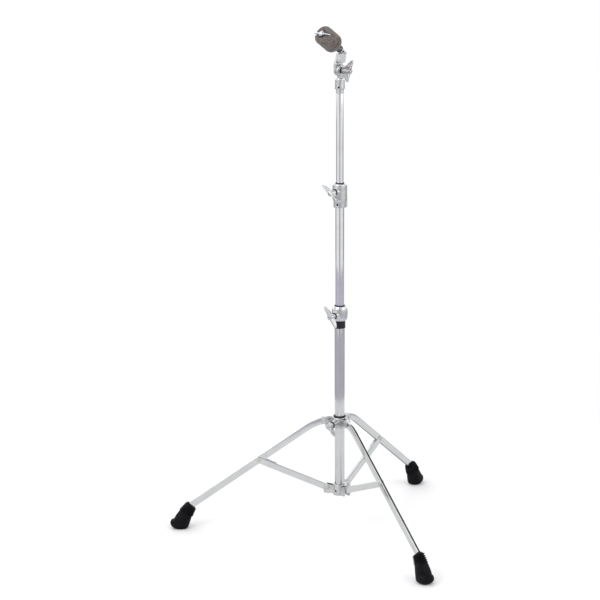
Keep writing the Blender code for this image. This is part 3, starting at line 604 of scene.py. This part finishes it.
def bolt_reach(name):
    """How far from the tube axis a wing bolt's hub begins."""
    origin = place(name + "_turn")
    return (origin - Vector((AXIS_X, 0, origin.z))).length


def bolt_frame(name, on_axis=False):
    """A wing bolt's frame, at its hub or where its line meets the tube axis."""
    origin = place(name + "_turn")
    if on_axis:
        origin = Vector((AXIS_X, 0, origin.z))
    return frame_of(origin, axis_of(name + "_turn"), (0, 0, 1))


def make_wing_bolt(name, stud_end):
    """Hub, stud and pressed wings of one bolt."""
    matrix = bolt_frame(name) @ Matrix.Rotation(math.radians(BOLT_TURNS[name]), 4, "Z")
    stud, hub, top = bolt_reach(name) - stud_end, BOLT_HUB_R, 15.5 * MM
    outline = [(0, -stud), (STUD_R, -stud), (STUD_R, 0), (hub, 0), (hub, top), (0, top)]
    parts = [helper(turned(soften(outline, 1.1 * MM), SMALL)), helper(wing_blade(7.2 * MM, MM))]
    solid = fuse(parts, [], 0.3 * MM, 5)
    finish_piece(name + "_cast", solid, CAST, name, name, 180, matrix)


def make_bolt_washer(name, body):
    """The black nylon washer under a wing bolt's hub."""
    outline = band(STUD_R + GAP, 7.6 * MM, -GAP - BOLT_WASHER_T, -GAP)
    solid = turned(soften(outline, 0.5 * MM), SMALL)
    finish_nylon(name + "_washer", body, solid, bolt_frame(name))


def make_wing_nut(name, matrix, bore, length, blade, material):
    """A wing nut: a hub with the given blade through it and a bore right through both."""
    outline = soften(band(0, NUT_HUB_R, 0, length), 1.0 * MM)
    parts = [helper(turned(outline, SMALL)), helper(blade)]
    solid = fuse(parts, [helper(rod(bore, -length, 3 * length))], 0.26 * MM, 4)
    finish_piece(name + "_cast", solid, material, name, name, 180, matrix)


# ---- clamps ----


def bolt_boss(name, inner):
    """The round boss a wing bolt screws into, with a softly swelling root."""
    face = bolt_reach(name) - BOLT_WASHER_T - 2 * GAP
    outline = [(0, inner), (10.5 * MM, inner), (8.2 * MM, (inner + face) / 2), (7.4 * MM, face), (0, face)]
    return helper(turned(outline, SMALL), bolt_frame(name, True))


def bolt_drill(name):
    return helper(rod(STUD_R + GAP, 0, 60 * MM), bolt_frame(name, True))


def tube_bore(bore, low, high):
    """The tool that clears a tube's way through a casting."""
    return helper(rod(bore, low - PAST, high + PAST, FINE), ON_AXIS)


def make_lower_clamp():
    low, high = span("lower_clamp")
    bore = LOWER_R + GAP
    wall = [(14.6, 0), (15.6, 2.5), (16.9, 7), (17.2, 12), (17.2, 22), (16.6, 27)]
    outline = [(bore, low)] + mm(wall, low) + [(14.2 * MM, high), (bore, high)]
    shell = helper(turned(soften(outline, 1.2 * MM, 6)), ON_AXIS)
    name = "lower_wing_bolt"
    cuts = [tube_bore(bore, low, high), bolt_drill(name)]
    solid = fuse([shell, bolt_boss(name, 13.5 * MM)], cuts, 0.5 * MM, 9)
    finish_cast("lower_clamp", "base", solid)


def make_upper_clamp():
    low, high = span("upper_clamp")
    bore = MIDDLE_R + GAP
    outline = [(bore, low)] + mm([(13.4, 0), (13.6, 13), (15.7, 18)], low)
    outline += mm([(15.7, -2.4), (14.2, 0)], high) + [(bore, high)]
    shell = helper(turned(soften(outline, 1.2 * MM, 6)), ON_AXIS)
    rib = block((11 * MM, 15.5 * MM), (-6 * MM, 6 * MM), (low + 0.4 * MM, low + 24 * MM))
    rib = helper(rib, ON_AXIS @ Matrix.Rotation(math.radians(12), 4, "Z"))
    name = "upper_wing_bolt"
    cuts = [tube_bore(bore, low, high), bolt_drill(name), screw_hole("upper_clamp_screw", 2 * MM)]
    solid = fuse([shell, rib, bolt_boss(name, 11.5 * MM)], cuts, 0.45 * MM, 8)
    finish_cast("upper_clamp", "middle_tube", solid)


# ---- collars with ears ----


def side_angle(side):
    """The heading of a leg, from its hinge's axis."""
    axis = axis_of("leg_%s_hinge" % side)
    return math.atan2(-axis.x, axis.y)


def leg_plane(side, base=ON_AXIS):
    """A leg's own frame: X away from the tube and Y across the leg."""
    return base @ Matrix.Rotation(side_angle(side), 4, "Z")


def ears(outline, cheek, thickness):
    """Three pairs of ears round the tube axis, from an outline in a leg's own plane."""
    result = []
    inner = cheek + GAP
    for side in SIDES:
        for sign in (1, -1):
            low, high = sorted((sign * inner, sign * (inner + thickness + EAR_EXTRA)))
            result.append(helper(slab(outline, low, high), leg_plane(side, STAND)))
    return result


def make_collar(node, body, radius, soft, adds, cuts):
    """A cast collar on the lower tube, with what is cast onto it and cut out of it."""
    low, high = span(node)
    bore = LOWER_R + GAP
    shell = helper(turned(soften(band(bore, radius, low, high), soft)), ON_AXIS)
    solid = fuse([shell] + adds, [tube_bore(bore, low, high)] + cuts, 0.42 * MM, 5)
    finish_cast(node, body, solid)


def make_lower_collar():
    ear = [(12.5, 81), (30.5, 81), (34, 83), (35.8, 87)] + arc((27.6, 94), 8.2, 0, 90, 10) + [(12.5, 98.5)]
    adds = ears(mm(ear), STRUT_WIDTH / 2, STRUT_EAR_T)
    make_collar("lower_collar", "base", 15 * MM, 1.2 * MM, adds, [screw_hole("lower_collar_screw", 1.5 * MM)])


def make_leg_collar():
    ear = [(12.5, 235), (22, 235.5)] + arc((32, 250), 8.6, -60, 60, 12) + [(22, 256.4), (12.5, 256)]
    name = "leg_wing_bolt"
    adds = ears(mm(ear), LEG_WIDTH / 2, LEG_EAR_T) + [bolt_boss(name, 13 * MM)]
    make_collar("leg_collar", "leg_collar", 15.5 * MM, 1.8 * MM, adds, [bolt_drill(name)])


# ---- legs, struts, their pins and rivets ----


# These inner faces get the lighter inside material: painted light that lifts the shade inside the channel.
CHANNEL_INSIDE = range(16, 25)  # the sides of a channel's outline that face inward


def channel_ring(centre, normal, top, width, wall, corner):
    """One station of an upside-down U channel with rounded corners."""
    half = width / 2
    inner = half - wall
    corner = min(corner, top)
    bend = max(corner - wall, 0.15 * MM)
    lip = 0.25 * MM
    outline = [(-half, -top + lip)]
    outline += arc((-half + corner, top - corner), corner, 180, 90, 5)
    outline += arc((half - corner, top - corner), corner, 90, 0, 5)
    outline += [(half, -top + lip), (half - lip, -top), (inner + lip, -top), (inner, -top + lip)]
    outline += arc((inner - bend, top - wall - bend), bend, 0, 90, 3)
    outline += arc((-inner + bend, top - wall - bend), bend, 90, 180, 3)
    outline += [(-inner, -top + lip), (-inner - lip, -top), (-half + lip, -top)]
    return [(centre[0] + normal[0] * n, y, centre[1] + normal[1] * n) for y, n in outline]


def channel(stations, depth, width, wall, corner):
    """A bar through stations of (point, slope, share of the depth), its inside on the second material, a
    lighter copy that paints light into the shade inside the channel.
    """
    rings = []
    for point, slope, share in stations:
        normal = (-math.sin(slope), math.cos(slope))
        rings.append(channel_ring(point, normal, depth / 2 * share, width, wall, corner))
    solid = lofted(rings)
    around = len(rings[0])
    # Inner faces take material index 1, the lighter copy painted to lift the shade there.
    for index, face in enumerate(solid.faces):
        face.material_index = int(index % around in CHANNEL_INSIDE)
    return solid


def rounded_end(pivot, slope, depth, outward):
    """The stations of a half-round end about a pivot."""
    stations = []
    for angle in (72, 62, 51, 40, 29, 18, 8, 0):
        reach = outward * depth / 2 * math.sin(math.radians(angle))
        point = (pivot[0] + reach * math.cos(slope), pivot[1] + reach * math.sin(slope))
        stations.append((point, slope, math.cos(math.radians(angle))))
    return stations if outward < 0 else stations[::-1]


def in_plane(point, side):
    """A point's distance from the tube axis and height, in a leg's own plane."""
    angle = side_angle(side)
    return ((point.x - AXIS_X) * math.cos(angle) + point.y * math.sin(angle), point.z)


def leg_end(brace):
    """The middle of a leg's lower end, from the point its strut is riveted to."""
    return (LEG_END_R, brace[1] - (LEG_END_R - brace[0]) * math.tan(LEG_SLOPE))


def leg_path(pivot, brace):
    """A leg's stations: the eye, the gentle start, the bend and the straight run through the brace."""
    start = (math.cos(-LEG_START_SLOPE), math.sin(-LEG_START_SLOPE))
    along = (math.cos(-LEG_SLOPE), math.sin(-LEG_SLOPE))
    offset = (brace[0] - pivot[0], brace[1] - pivot[1])
    turn = start[0] * along[1] - start[1] * along[0]
    reach = (offset[0] * along[1] - offset[1] * along[0]) / turn
    corner = (pivot[0] + reach * start[0], pivot[1] + reach * start[1])
    tangent = LEG_BEND_R * math.tan((LEG_SLOPE - LEG_START_SLOPE) / 2)
    first = (corner[0] - tangent * start[0], corner[1] - tangent * start[1])
    centre = (first[0] + LEG_BEND_R * start[1], first[1] - LEG_BEND_R * start[0])
    stations = rounded_end(pivot, -LEG_START_SLOPE, LEG_DEPTH, -1)
    steps = 16
    for i in range(steps + 1):
        slope = -LEG_START_SLOPE - (LEG_SLOPE - LEG_START_SLOPE) * i / steps
        point = (centre[0] - LEG_BEND_R * math.sin(slope), centre[1] + LEG_BEND_R * math.cos(slope))
        stations.append((point, slope, 1.0))
    stations.append((leg_end(brace), -LEG_SLOPE, 1.0))
    return stations


def brace_point(side):
    """Where the strut is riveted to its leg, in the leg's own plane."""
    low, high = (middle_of("brace_rivet_%s_%s" % (side, letter)) for letter in "ab")
    return in_plane((low + high) / 2, side)


def make_leg(side):
    node = "leg_" + side
    pivot = in_plane(place(node + "_hinge"), side)
    solid = channel(leg_path(pivot, brace_point(side)), LEG_DEPTH, LEG_WIDTH, LEG_WALL, 1.7 * MM)
    # The leg's inner faces get the lighter material that paints light into its shade.
    finish_piece(node + "_pressed", solid, PRESSED, node, node, 40, leg_plane(side), INSIDE_PAINTED_LIGHT)
    make_pin("leg_pin_" + side, "leg_collar", pivot, side, LEG_WIDTH / 2 + GAP + LEG_EAR_T)


def make_strut(side):
    node = "strut_" + side
    pivot = in_plane(place(node + "_hinge"), side)
    brace = brace_point(side)
    rise = (brace[0] - pivot[0], brace[1] - pivot[1])
    length = math.hypot(*rise)
    lean = leg_plane(side) @ Matrix.Translation((pivot[0], 0, pivot[1]))
    lean = lean @ Matrix.Rotation(-math.atan2(rise[1], rise[0]), 4, "Y")
    stations = rounded_end((0, 0), 0, STRUT_DEPTH, -1) + rounded_end((length, 0), 0, STRUT_DEPTH, 1)
    bar = helper(channel(stations, STRUT_DEPTH, STRUT_WIDTH, STRUT_WALL, 1.9 * MM))
    inside = STRUT_WIDTH / 2 - STRUT_WALL
    cuts = []
    for ends in ((length - STRUT_WEB_CUT, length + 20 * MM), (-20 * MM, 3 * MM)):
        cuts.append(helper(block(ends, (-inside, inside), (-12 * MM, 12 * MM))))
    solid = fuse([bar], cuts)
    # The strut's inner faces get the lighter material that paints light into its shade.
    finish_piece(node + "_pressed", solid, PRESSED, node, node, 40, lean, INSIDE_PAINTED_LIGHT)
    make_pin("strut_pin_" + side, "base", pivot, side, STRUT_WIDTH / 2 + GAP + STRUT_EAR_T)
    make_brace_rivet(side, leg_plane(side) @ across((brace[0], 0, brace[1])))


def make_pin(node, body, pivot, side, ear):
    """A riveted hinge pin: a domed head on one side and a rolled, dimpled end on the other."""
    inner = ear + EAR_EXTRA
    outer = inner + PIN_HEAD_T
    head, shank = PIN_HEAD_R, 3.0 * MM
    outline = [(0, -outer), (head * 0.55, -outer + 0.15 * MM), (head * 0.86, -outer + 0.7 * MM)]
    outline += [(head, -inner - 0.5 * MM), (head, -inner), (shank, -inner), (shank, inner), (head, inner)]
    outline += [(head, inner + 0.5 * MM), (head * 0.86, outer - 0.6 * MM), (head * 0.6, outer)]
    outline += [(head * 0.35, outer - 0.5 * MM), (0, outer - 0.6 * MM)]
    solid = turned(soften(outline, 0.5 * MM), SMALL)
    matrix = leg_plane(side) @ across((pivot[0], 0, pivot[1]))
    finish_steel(node + "_riveted", node, body, solid, matrix)


def make_brace_rivet(side, matrix):
    """The two ends of the brace rivet, outside the strut's cheeks."""
    cheek, head = STRUT_WIDTH / 2, RIVET_HEAD_R
    seat = cheek + 0.1 * MM
    top = seat + PIN_HEAD_T
    outline = [(0, cheek - STRUT_WALL), (2.5 * MM, cheek - STRUT_WALL), (2.5 * MM, seat), (head, seat)]
    outline += [(head, cheek + 0.7 * MM), (head * 0.84, top - 0.5 * MM)]
    outline += [(head * 0.5, top - 0.08 * MM), (0, top)]
    for letter in "ab":
        node = "brace_rivet_%s_%s" % (side, letter)
        facing = (matrix.inverted() @ middle_of(node)).z > 0
        flip = matrix if facing else matrix @ Matrix.Rotation(math.pi, 4, "X")
        solid = turned(soften(outline, 0.5 * MM), SMALL)
        finish_steel(node + "_riveted", node, "strut_" + side, solid, flip)


# ---- rubber feet ----

# inner and outer edge as (distance, height), and half width, in mm
FOOT_RIM = ((322.6, 41.4), (341.0, 55.2), 10.6)
FOOT_WAIST = ((330.4, 23.0), (357.4, 37.2), 13.2)
FOOT_RIBS = 5
FOOT_SIDES = 56
FOOT_BODY = (
    ((331.0, 21.4), (358.6, 35.6), 13.5),
    ((332.6, 17.0), (362.0, 31.0), 14.4),
    ((334.8, 10.0), (367.8, 22.8), 15.8),
    ((336.2, 5.2), (370.4, 17.6), 16.0),
    ((336.7, 3.9), (371.4, 15.8), 15.9),
    ((337.2, 2.6), (377.6, 13.4), 17.2),
    ((337.8, 1.0), (379.3, 9.6), 17.4),
    ((338.4, -0.6), (379.6, 7.0), 17.4),
    ((339.2, -2.2), (378.9, 3.6), 16.9),
    ((340.6, -3.6), (376.4, 0.0), 15.6),
    ((342.2, -4.6), (373.0, -3.2), 13.4),
    ((343.8, -5.0), (369.6, -5.0), 11.0),
)


def neck_station(share):
    """A station of the foot's neck, between its rim and its waist."""
    first, last = FOOT_RIM, FOOT_WAIST
    pairs = []
    for here, there in zip(first[:2], last[:2]):
        pairs.append(tuple(h + (t - h) * share for h, t in zip(here, there)))
    return (*pairs, first[2] + (last[2] - first[2]) * share)


def boot_ring(station, swell):
    """A slightly squared oval through a station's two edges."""
    low, high = (Vector((x, 0, z)) * MM for x, z in station[:2])
    middle = (low + high) / 2
    reach = (high - low) / 2 + (high - low).normalized() * swell
    width = Vector((0, station[2] * MM + swell, 0))
    return [middle + reach * c + width * s for c, s in oval(FOOT_SIDES, 0.86, 0.86)]


def pocket_ring(centre):
    """The rounded slot round the leg's end, in step with a boot ring's points."""
    normal = Vector((math.sin(LEG_SLOPE), 0, math.cos(LEG_SLOPE)))
    depth, width = LEG_DEPTH / 2 + GAP, LEG_WIDTH / 2 + GAP
    corners = oval(FOOT_SIDES, 0.35, 0.35)
    return [centre + normal * (depth * c) + Vector((0, width * s, 0)) for c, s in corners]


def make_foot(side):
    """A ribbed rubber boot whose mouth grips the leg's end, with a lip round its toe."""
    rings = [boot_ring(station, 0) for station in reversed(FOOT_BODY)]
    steps = 10 * FOOT_RIBS
    for k in range(steps, -1, -1):
        wave = 0.5 + 0.5 * math.cos(2 * math.pi * (k / steps * FOOT_RIBS - 0.5))
        rings.append(boot_ring(neck_station(k / steps), (2.5 * wave ** 1.5 - 0.4) * MM))
    for share, swell in ((-0.02, -0.4), (-0.03, -1.0)):
        rings.append(boot_ring(neck_station(share), swell * MM))
    end_x, end_z = leg_end(brace_point(side))
    end = Vector((end_x, 0, end_z - DATUM))
    back = Vector((-math.cos(LEG_SLOPE), 0, math.sin(LEG_SLOPE)))
    for reach in (9.2 * MM, 8.2 * MM, 5 * MM, 0.6 * MM):
        rings.append(pocket_ring(end + back * reach))
    solid, node, turn = lofted(rings), "foot_" + side, leg_plane(side, STAND)
    finish_piece(node + "_moulded", solid, RUBBER, "leg_" + side, node, 50, turn)


# ---- tilter ----


def knuckle(low, high, rim):
    """A hinge cheek about the tilter's axis, and the tools for the ring in its outer face and its bore."""
    cheek = turned(soften(band(0, KNUCKLE_R, low, high), 1.3 * MM))
    deep = 0.35 * MM
    groove = turned(soften(band(8.8 * MM, 10.1 * MM, rim - deep, rim + deep), 0.2 * MM))
    bore = rod(STUD_R + GAP, -30 * MM, 30 * MM)
    return helper(cheek, SIDEWAYS), [helper(groove, SIDEWAYS), helper(bore, SIDEWAYS)]


def make_tilter_base():
    """The sleeve over the tube's top, its neck and one hinge cheek."""
    low, top = span("tilter_base")[0], PIVOT.z - 16 * MM
    ceiling = top - 3.6 * MM
    radius, bore = 10.5 * MM, UPPER_R + GAP
    outline = [(bore, low), (radius, low), (radius, top - 3 * MM), (9.0 * MM, top), (0, top)]
    outline += [(0, ceiling), (bore, ceiling)]
    sleeve = helper(turned(soften(outline, 1.2 * MM)), ON_AXIS)
    cheek, cuts = knuckle(GAP / 2, KNUCKLE_T, KNUCKLE_T)
    neck = slab(mm([(-7.5, -18), (7.5, -18), (9, -9), (-9, -9)]), GAP / 2 + 0.1 * MM, KNUCKLE_T - 0.4 * MM)
    cuts.append(screw_hole("tilter_base_screw", 1 * MM))
    cuts.append(helper(rod(bore, low - PAST, ceiling, FINE), ON_AXIS))
    solid = fuse([sleeve, cheek, helper(neck, UPRIGHT)], cuts, 0.36 * MM, 5)
    finish_cast("tilter_base", "tilter_base", solid)


def make_tilter_head():
    """The other cheek, the arm over both, and the leaning socket that the rod is screwed into."""
    cheek, cuts = knuckle(-KNUCKLE_T, -GAP / 2, -KNUCKLE_T)
    arm = soften(mm([(-6, 2), (12.3, 0), (12.4, 14), (9.5, 21), (-11, 22)]), 2 * MM)
    arm = helper(slab(arm, -KNUCKLE_T + 0.1 * MM, -GAP / 2 - 0.1 * MM), UPRIGHT)
    bridge = soften(mm([(-10, 16), (8, 16), (5, 36), (-13, 31)]), 2.4 * MM)
    bridge = helper(slab(bridge, -6.9 * MM, 6.3 * MM), UPRIGHT)
    foot, chamfer = -SOCKET_LENGTH, 3.2 * MM
    outline = [(0, foot), (SOCKET_R - chamfer, foot), (SOCKET_R, foot + chamfer), (SOCKET_R, 0), (0, 0)]
    socket = helper(turned(soften(outline, 1.6 * MM, 6)), ROD_FRAME)
    cuts.append(helper(rod(ROD_R + GAP, -ROD_BURIED - 0.6 * MM, 5 * MM), ROD_FRAME))
    cuts.append(screw_hole("tilter_head_screw", 0.6 * MM, 6 * MM))
    solid = fuse([cheek, arm, bridge, socket], cuts, 0.36 * MM, 7)
    finish_cast("tilter_head", "tilter_head", solid)


def make_tilter_fastenings():
    """The hinge's bolt, the washer on it and the wing nut that clamps the tilter."""
    base = place("tilter_wing_nut_turn")
    start = (base - PIVOT).length
    washer = band(STUD_R + GAP, 6.5 * MM, KNUCKLE_T + GAP, start - GAP)
    finish_nylon("tilter_washer", "tilter_base", turned(soften(washer, 0.4 * MM), SMALL), SIDEWAYS)
    length = 22.5 * MM
    tip, plain = start + length + 2 * MM, start + 14 * MM
    under = -KNUCKLE_T - GAP
    bolt = mm([(0, -2.8), (3.8, -2.7), (5.0, -1.9), (5.6, -0.5), (5.6, 0)], under)
    bolt += [(STUD_R, under), (STUD_R, plain)]
    solid = turned(soften(bolt, 0.5 * MM) + thread(STUD_R, 1.0 * MM, plain, tip) + [(0, tip)], SMALL)
    finish_steel("tilter_bolt_turned", "tilter_bolt", "tilter_base", solid, SIDEWAYS)
    lean = math.radians(20)
    wing = UPRIGHT.to_3x3() @ Vector((-math.sin(lean), 0, math.cos(lean)))
    blade = wing_blade(length - 9.4 * MM, 0.89 * MM, 1.0, 1.5, 9.0)
    matrix = frame_of(base, HINGE, wing)
    make_wing_nut("tilter_wing_nut", matrix, STUD_R + GAP, length, blade, DARK)


def thread(radius, pitch, low, high):
    """The outline of a rolled thread: rounded crests and roots."""
    count = int((high - low - 1.2 * MM) / pitch)
    points = []
    for i in range(count * 6):
        share = i / 6
        depth = 0.5 - 0.5 * math.cos(2 * math.pi * share)
        points.append((radius - 0.32 * pitch * depth, low + 0.6 * MM + share * pitch))
    points.append((radius - 0.5 * MM, high - 0.2 * MM))
    return points


# ---- cymbal rod and what is stacked on it ----


def stacked(name, outline, material, node, soft=0.4 * MM):
    """A turned piece on the cymbal rod."""
    solid = turned(soften(outline, soft), SMALL)
    finish_piece(name, solid, material, "tilter_head", node, 50, ROD_FRAME)


def make_rod_stack():
    start = 48 * MM
    outline = soften([(0, -ROD_BURIED), (ROD_R, -ROD_BURIED), (ROD_R, start)], 0.4 * MM)
    outline += thread(ROD_R, 1.25 * MM, start, ROD_LENGTH) + [(0, ROD_LENGTH)]
    solid = turned(outline, SMALL)
    finish_piece("cymbal_rod_threaded", solid, CHROME, "tilter_head", "cymbal_rod", 60, ROD_FRAME)
    bore = ROD_R + GAP
    ring = band(bore, 7.7 * MM, 0.3 * MM, 2.2 * MM)
    stacked("seat_ring_moulded", ring, NYLON, "seat_ring")
    cup = band(bore, 6.6 * MM, 2.5 * MM, 4.3 * MM)
    stacked("cup_washer_turned", cup, CHROME, "cup_washer", 0.6 * MM)
    top = FELT_PRESSED - 1.5 * MM
    sleeve = [(bore, 4.6 * MM)] + mm([(7.5, 4.6), (7.5, 6.2), (5.2, 6.2)]) + [(5.2 * MM, top), (bore, top)]
    stacked("cymbal_sleeve_moulded", sleeve, NYLON, "cymbal_sleeve")


def resampled(outline, step):
    """The closed outline with points no further apart than step."""
    result = []
    for i, point in enumerate(outline):
        here, there = Vector(point), Vector(outline[(i + 1) % len(outline)])
        count = max(1, math.ceil((there - here).length / step))
        for k in range(count):
            result.append(tuple(here.lerp(there, k / count)))
    return result


def pressed_in(point):
    """The height of a point of the upper felt once the top nut's hub and wings have sunk into its end."""
    rim, start = UPPER_FELT[1], UPPER_FELT[1] - 16 * MM
    hub_r, wing_half, slope = 7.6 * MM, 3.6 * MM, 3.6 * MM
    if point.z < start:
        return point.z
    hub = math.hypot(point.x, point.y) - hub_r
    wing = abs(point.x) - wing_half + 0.09 * abs(point.y)
    share = clamped(min(hub, wing) / slope)
    share = share * share * (3 - 2 * share)
    depth = (rim - FELT_PRESSED) * (1 - share)
    return point.z - depth * (point.z - start) / (rim - start)


def make_felt(node, body, outline, seed, pressed=False):
    """A pressed felt: layered, slightly uneven and fibrous all over."""
    solid = turned(resampled(soften(outline, 2.2 * MM, 5), 0.7 * MM), 168)
    bmesh.ops.recalc_face_normals(solid, faces=solid.faces)
    solid.normal_update()
    offset = Vector((seed, 2 * seed, 3 * seed))
    moves = []
    for vertex in solid.verts:
        p = vertex.co / MM
        if math.hypot(p.x, p.y) < FELT_BORE / MM + 0.3:
            moves.append(0)
            continue
        lump = noise.noise(p * 0.16 + offset) * 0.34
        layer = noise.noise(Vector((p.x * 0.12, p.y * 0.12, p.z * 0.9)) + offset) * 0.22
        fibre = noise.noise(p * 1.1 + offset) * 0.18
        moves.append((lump + layer + fibre - 0.28) * MM)
    for vertex, move in zip(solid.verts, moves):
        vertex.co += vertex.normal * move
        if pressed:
            vertex.co.z = pressed_in(vertex.co)
    piece = finish_piece(node + "_pressed", solid, FELT, body, node, 180, ROD_FRAME)


def make_felts():
    """Both felts, and the nut that holds them down."""
    low, high = LOWER_FELT
    outline = [(FELT_BORE, low)] + mm([(7.4, 0), (8.6, 3), (12.4, 6.2), (16, 9.1), (18.9, 12.4)], low)
    outline += [(FELT_R, low + 18.2 * MM), (FELT_R, high), (FELT_BORE, high)]
    make_felt("lower_felt", "tilter_head", outline, 3.1)
    low, high = UPPER_FELT
    outline = [(FELT_BORE, low), (FELT_R, low), (FELT_R, high - 6 * MM), (FELT_R - 1.6 * MM, high - 1.2 * MM)]
    outline += [(FELT_R - 4 * MM, high), (FELT_BORE, high)]
    make_felt("upper_felt", "upper_felt", outline, 7.7, pressed=True)
    side = ROD_FRAME.to_3x3() @ Vector((0, 1, 0))
    matrix = frame_of(place("top_wing_nut_turn"), axis_of("top_wing_nut_turn"), side)
    blade = wing_blade(3.1 * MM, 0.91 * MM, 0.42, -0.75)
    make_wing_nut("top_wing_nut", matrix, ROD_R + GAP, 5.8 * MM, blade, CAST)


# ---- the stand ----


def make_stand():
    bore = LOWER_R + GAP
    make_tube("lower_tube", "base", TUBE_GREY)
    for node in ("middle_tube", "upper_tube"):
        make_tube(node, node, CHROME)
    make_sleeve("tube_sleeve", "base", bore, tube_radius("tube_sleeve"), 0.5 * MM)
    make_sleeve("leg_collar_ring", "leg_collar", bore, tube_radius("leg_collar_ring"), 1.6 * MM)
    make_sleeve("lower_clamp_bush", "base", MIDDLE_R + GAP, LOWER_R, 0.45 * MM)
    make_sleeve("upper_clamp_bush", "middle_tube", UPPER_R + GAP, MIDDLE_R, 0.45 * MM)
    for node in SET_SCREWS:
        make_set_screw(node)
    make_lower_clamp()
    make_upper_clamp()
    make_lower_collar()
    make_leg_collar()
    for side in SIDES:
        make_leg(side)
        make_strut(side)
        make_foot(side)
    make_wing_bolt("leg_wing_bolt", bore)
    make_wing_bolt("lower_wing_bolt", bore)
    make_wing_bolt("upper_wing_bolt", MIDDLE_R + GAP)
    make_bolt_washer("leg_wing_bolt", "leg_collar")
    make_bolt_washer("lower_wing_bolt", "base")
    make_bolt_washer("upper_wing_bolt", "middle_tube")
    make_tilter_base()
    make_tilter_head()
    make_tilter_fastenings()
    make_rod_stack()
    make_felts()


# ---- studio ----


def make_disc(name, inner, outer, tint):
    """A flat matt disc or ring on the floor, about the tube axis."""
    disc = new_object(name, turned(band(inner, outer, -FLOOR_T, 0), 128), ON_AXIS)
    m = Nodes(name)
    tone = m.ramp(m.noise(3, 4), [(0.3, [c * 0.98 for c in tint]), (0.7, tint)])
    m.link(tone, m.shader.inputs["Base Color"])
    m.shader.inputs["Roughness"].default_value = 0.8
    disc.data.materials.append(m.material)
    return disc


def make_floor():
    """A pale floor, and round it a grey ring that only shows in reflections, such as the lower tube's."""
    make_disc("studio_floor", 0, FLOOR_R, (0.83, 0.83, 0.83))
    flag = make_disc("studio_flag", FLAG_START, FLAG_R, (0.475, 0.465, 0.535))
    flag.location.z = 1 * MM
    flag.visible_camera = False
    flag.visible_diffuse = False
    flag.visible_shadow = False


def vector_math(tree, operation, vector, other=(0, 0, 0)):
    node = tree.nodes.new("ShaderNodeVectorMath")
    node.operation = operation
    tree.links.new(vector, node.inputs[0])
    node.inputs[1].default_value = other
    return node.outputs


def world_angle(tree, vector, direction, full, none):
    """1 within full degrees of a direction and 0 beyond none degrees, on the world's sphere."""
    dot = vector_math(tree, "DOT_PRODUCT", vector, Vector(direction).normalized())
    edge = tree.nodes.new("ShaderNodeMapRange")
    edge.interpolation_type = "SMOOTHSTEP"
    edge.inputs["From Min"].default_value = math.cos(math.radians(none))
    edge.inputs["From Max"].default_value = math.cos(math.radians(full))
    tree.links.new(dot["Value"], edge.inputs["Value"])
    return edge.outputs["Result"]


def world_layer(tree, below, share, tint):
    """Paint a tint over what is below, by a share."""
    node = tree.nodes.new("ShaderNodeMix")
    node.data_type = "RGBA"
    tree.links.new(share, node.inputs["Factor"])
    tree.links.new(below, node.inputs["A"])
    node.inputs["B"].default_value = tint
    return node.outputs["Result"]


def make_world():
    """A white studio, which the camera sees as plain white.

    It is bright behind the stand and grey low down there, with a grey strip on the camera's side and a
    black flag high up behind on the right.
    """
    world = bpy.data.worlds.new("studio")
    bpy.context.scene.world = world
    world.use_nodes = True
    tree = world.node_tree
    background = tree.nodes["Background"]
    generated = tree.nodes.new("ShaderNodeTexCoord").outputs["Generated"]
    around = vector_math(tree, "NORMALIZE", vector_math(tree, "MULTIPLY", generated, (1, 1, 0))[0])[0]
    white = tree.nodes.new("ShaderNodeRGB")
    white.outputs[0].default_value = (1.15, 1.15, 1.16, 1)
    behind = world_angle(tree, around, (0.05, 1, 0), 62, 112)
    low = tree.nodes.new("ShaderNodeMath")
    low.operation = "MULTIPLY"
    tree.links.new(behind, low.inputs[0])
    tree.links.new(world_angle(tree, generated, (0, 0, -1), 84, 87), low.inputs[1])
    layers = (
        (behind, 1.7),
        (low.outputs["Value"], 0.45),
        (world_angle(tree, around, (0.0, -1, 0), 6, 20), 0.50),
        (world_angle(tree, generated, (0, 0, 1), 18, 52), 1.25),
        (world_angle(tree, generated, (0.392, 0.293, 0.872), 21, 25), 0.0),
    )
    colour = white.outputs[0]
    for share, level in layers:
        colour = world_layer(tree, colour, share, (level, level, level * 1.015, 1))
    camera_ray = tree.nodes.new("ShaderNodeLightPath").outputs["Is Camera Ray"]
    tree.links.new(world_layer(tree, colour, camera_ray, (1, 1, 1, 1)), background.inputs["Color"])
    background.inputs["Strength"].default_value = 1.0


def make_light(name, place_at, size, energy):
    """A large soft area light, aimed at the middle of the stand."""
    light = bpy.data.lights.new(name, "AREA")
    light.size = size
    light.energy = energy
    lamp = add_object(name, light)
    aim = Vector((AXIS_X, 0, 0.5)) - Vector(place_at)
    lamp.matrix_world = Matrix.Translation(place_at) @ aim.to_track_quat("-Z", "Y").to_matrix().to_4x4()


def make_camera():
    yaw, pitch, roll = (math.radians(a) for a in (CAMERA_YAW, CAMERA_PITCH, CAMERA_ROLL))
    forward = Vector((math.sin(yaw) * math.cos(pitch), math.cos(yaw) * math.cos(pitch), -math.sin(pitch)))
    right = Vector((math.cos(yaw), -math.sin(yaw), 0))
    up = right.cross(forward)
    x = right * math.cos(roll) + up * math.sin(roll)
    y = up * math.cos(roll) - right * math.sin(roll)
    pose = Matrix.Translation((0, -CAMERA_DISTANCE, CAMERA_HEIGHT)) @ basis(x, y, -forward)
    data = bpy.data.cameras.new("camera")
    data.lens = CAMERA_LENS
    data.sensor_width = 36
    data.clip_end = 50
    camera = add_object("camera", data)
    camera.matrix_world = STAND @ Matrix.Rotation(math.radians(CAMERA_TURN), 4, "Z") @ pose
    bpy.context.scene.camera = camera


make_camera()
make_world()
make_light("key", (-1.9, -2.2, 2.6), 1.8, 34)
make_light("fill", (2.4, -1.2, 1.6), 1.6, 12)
make_floor()
make_stand()
bpy.context.scene.view_settings.view_transform = "Standard"
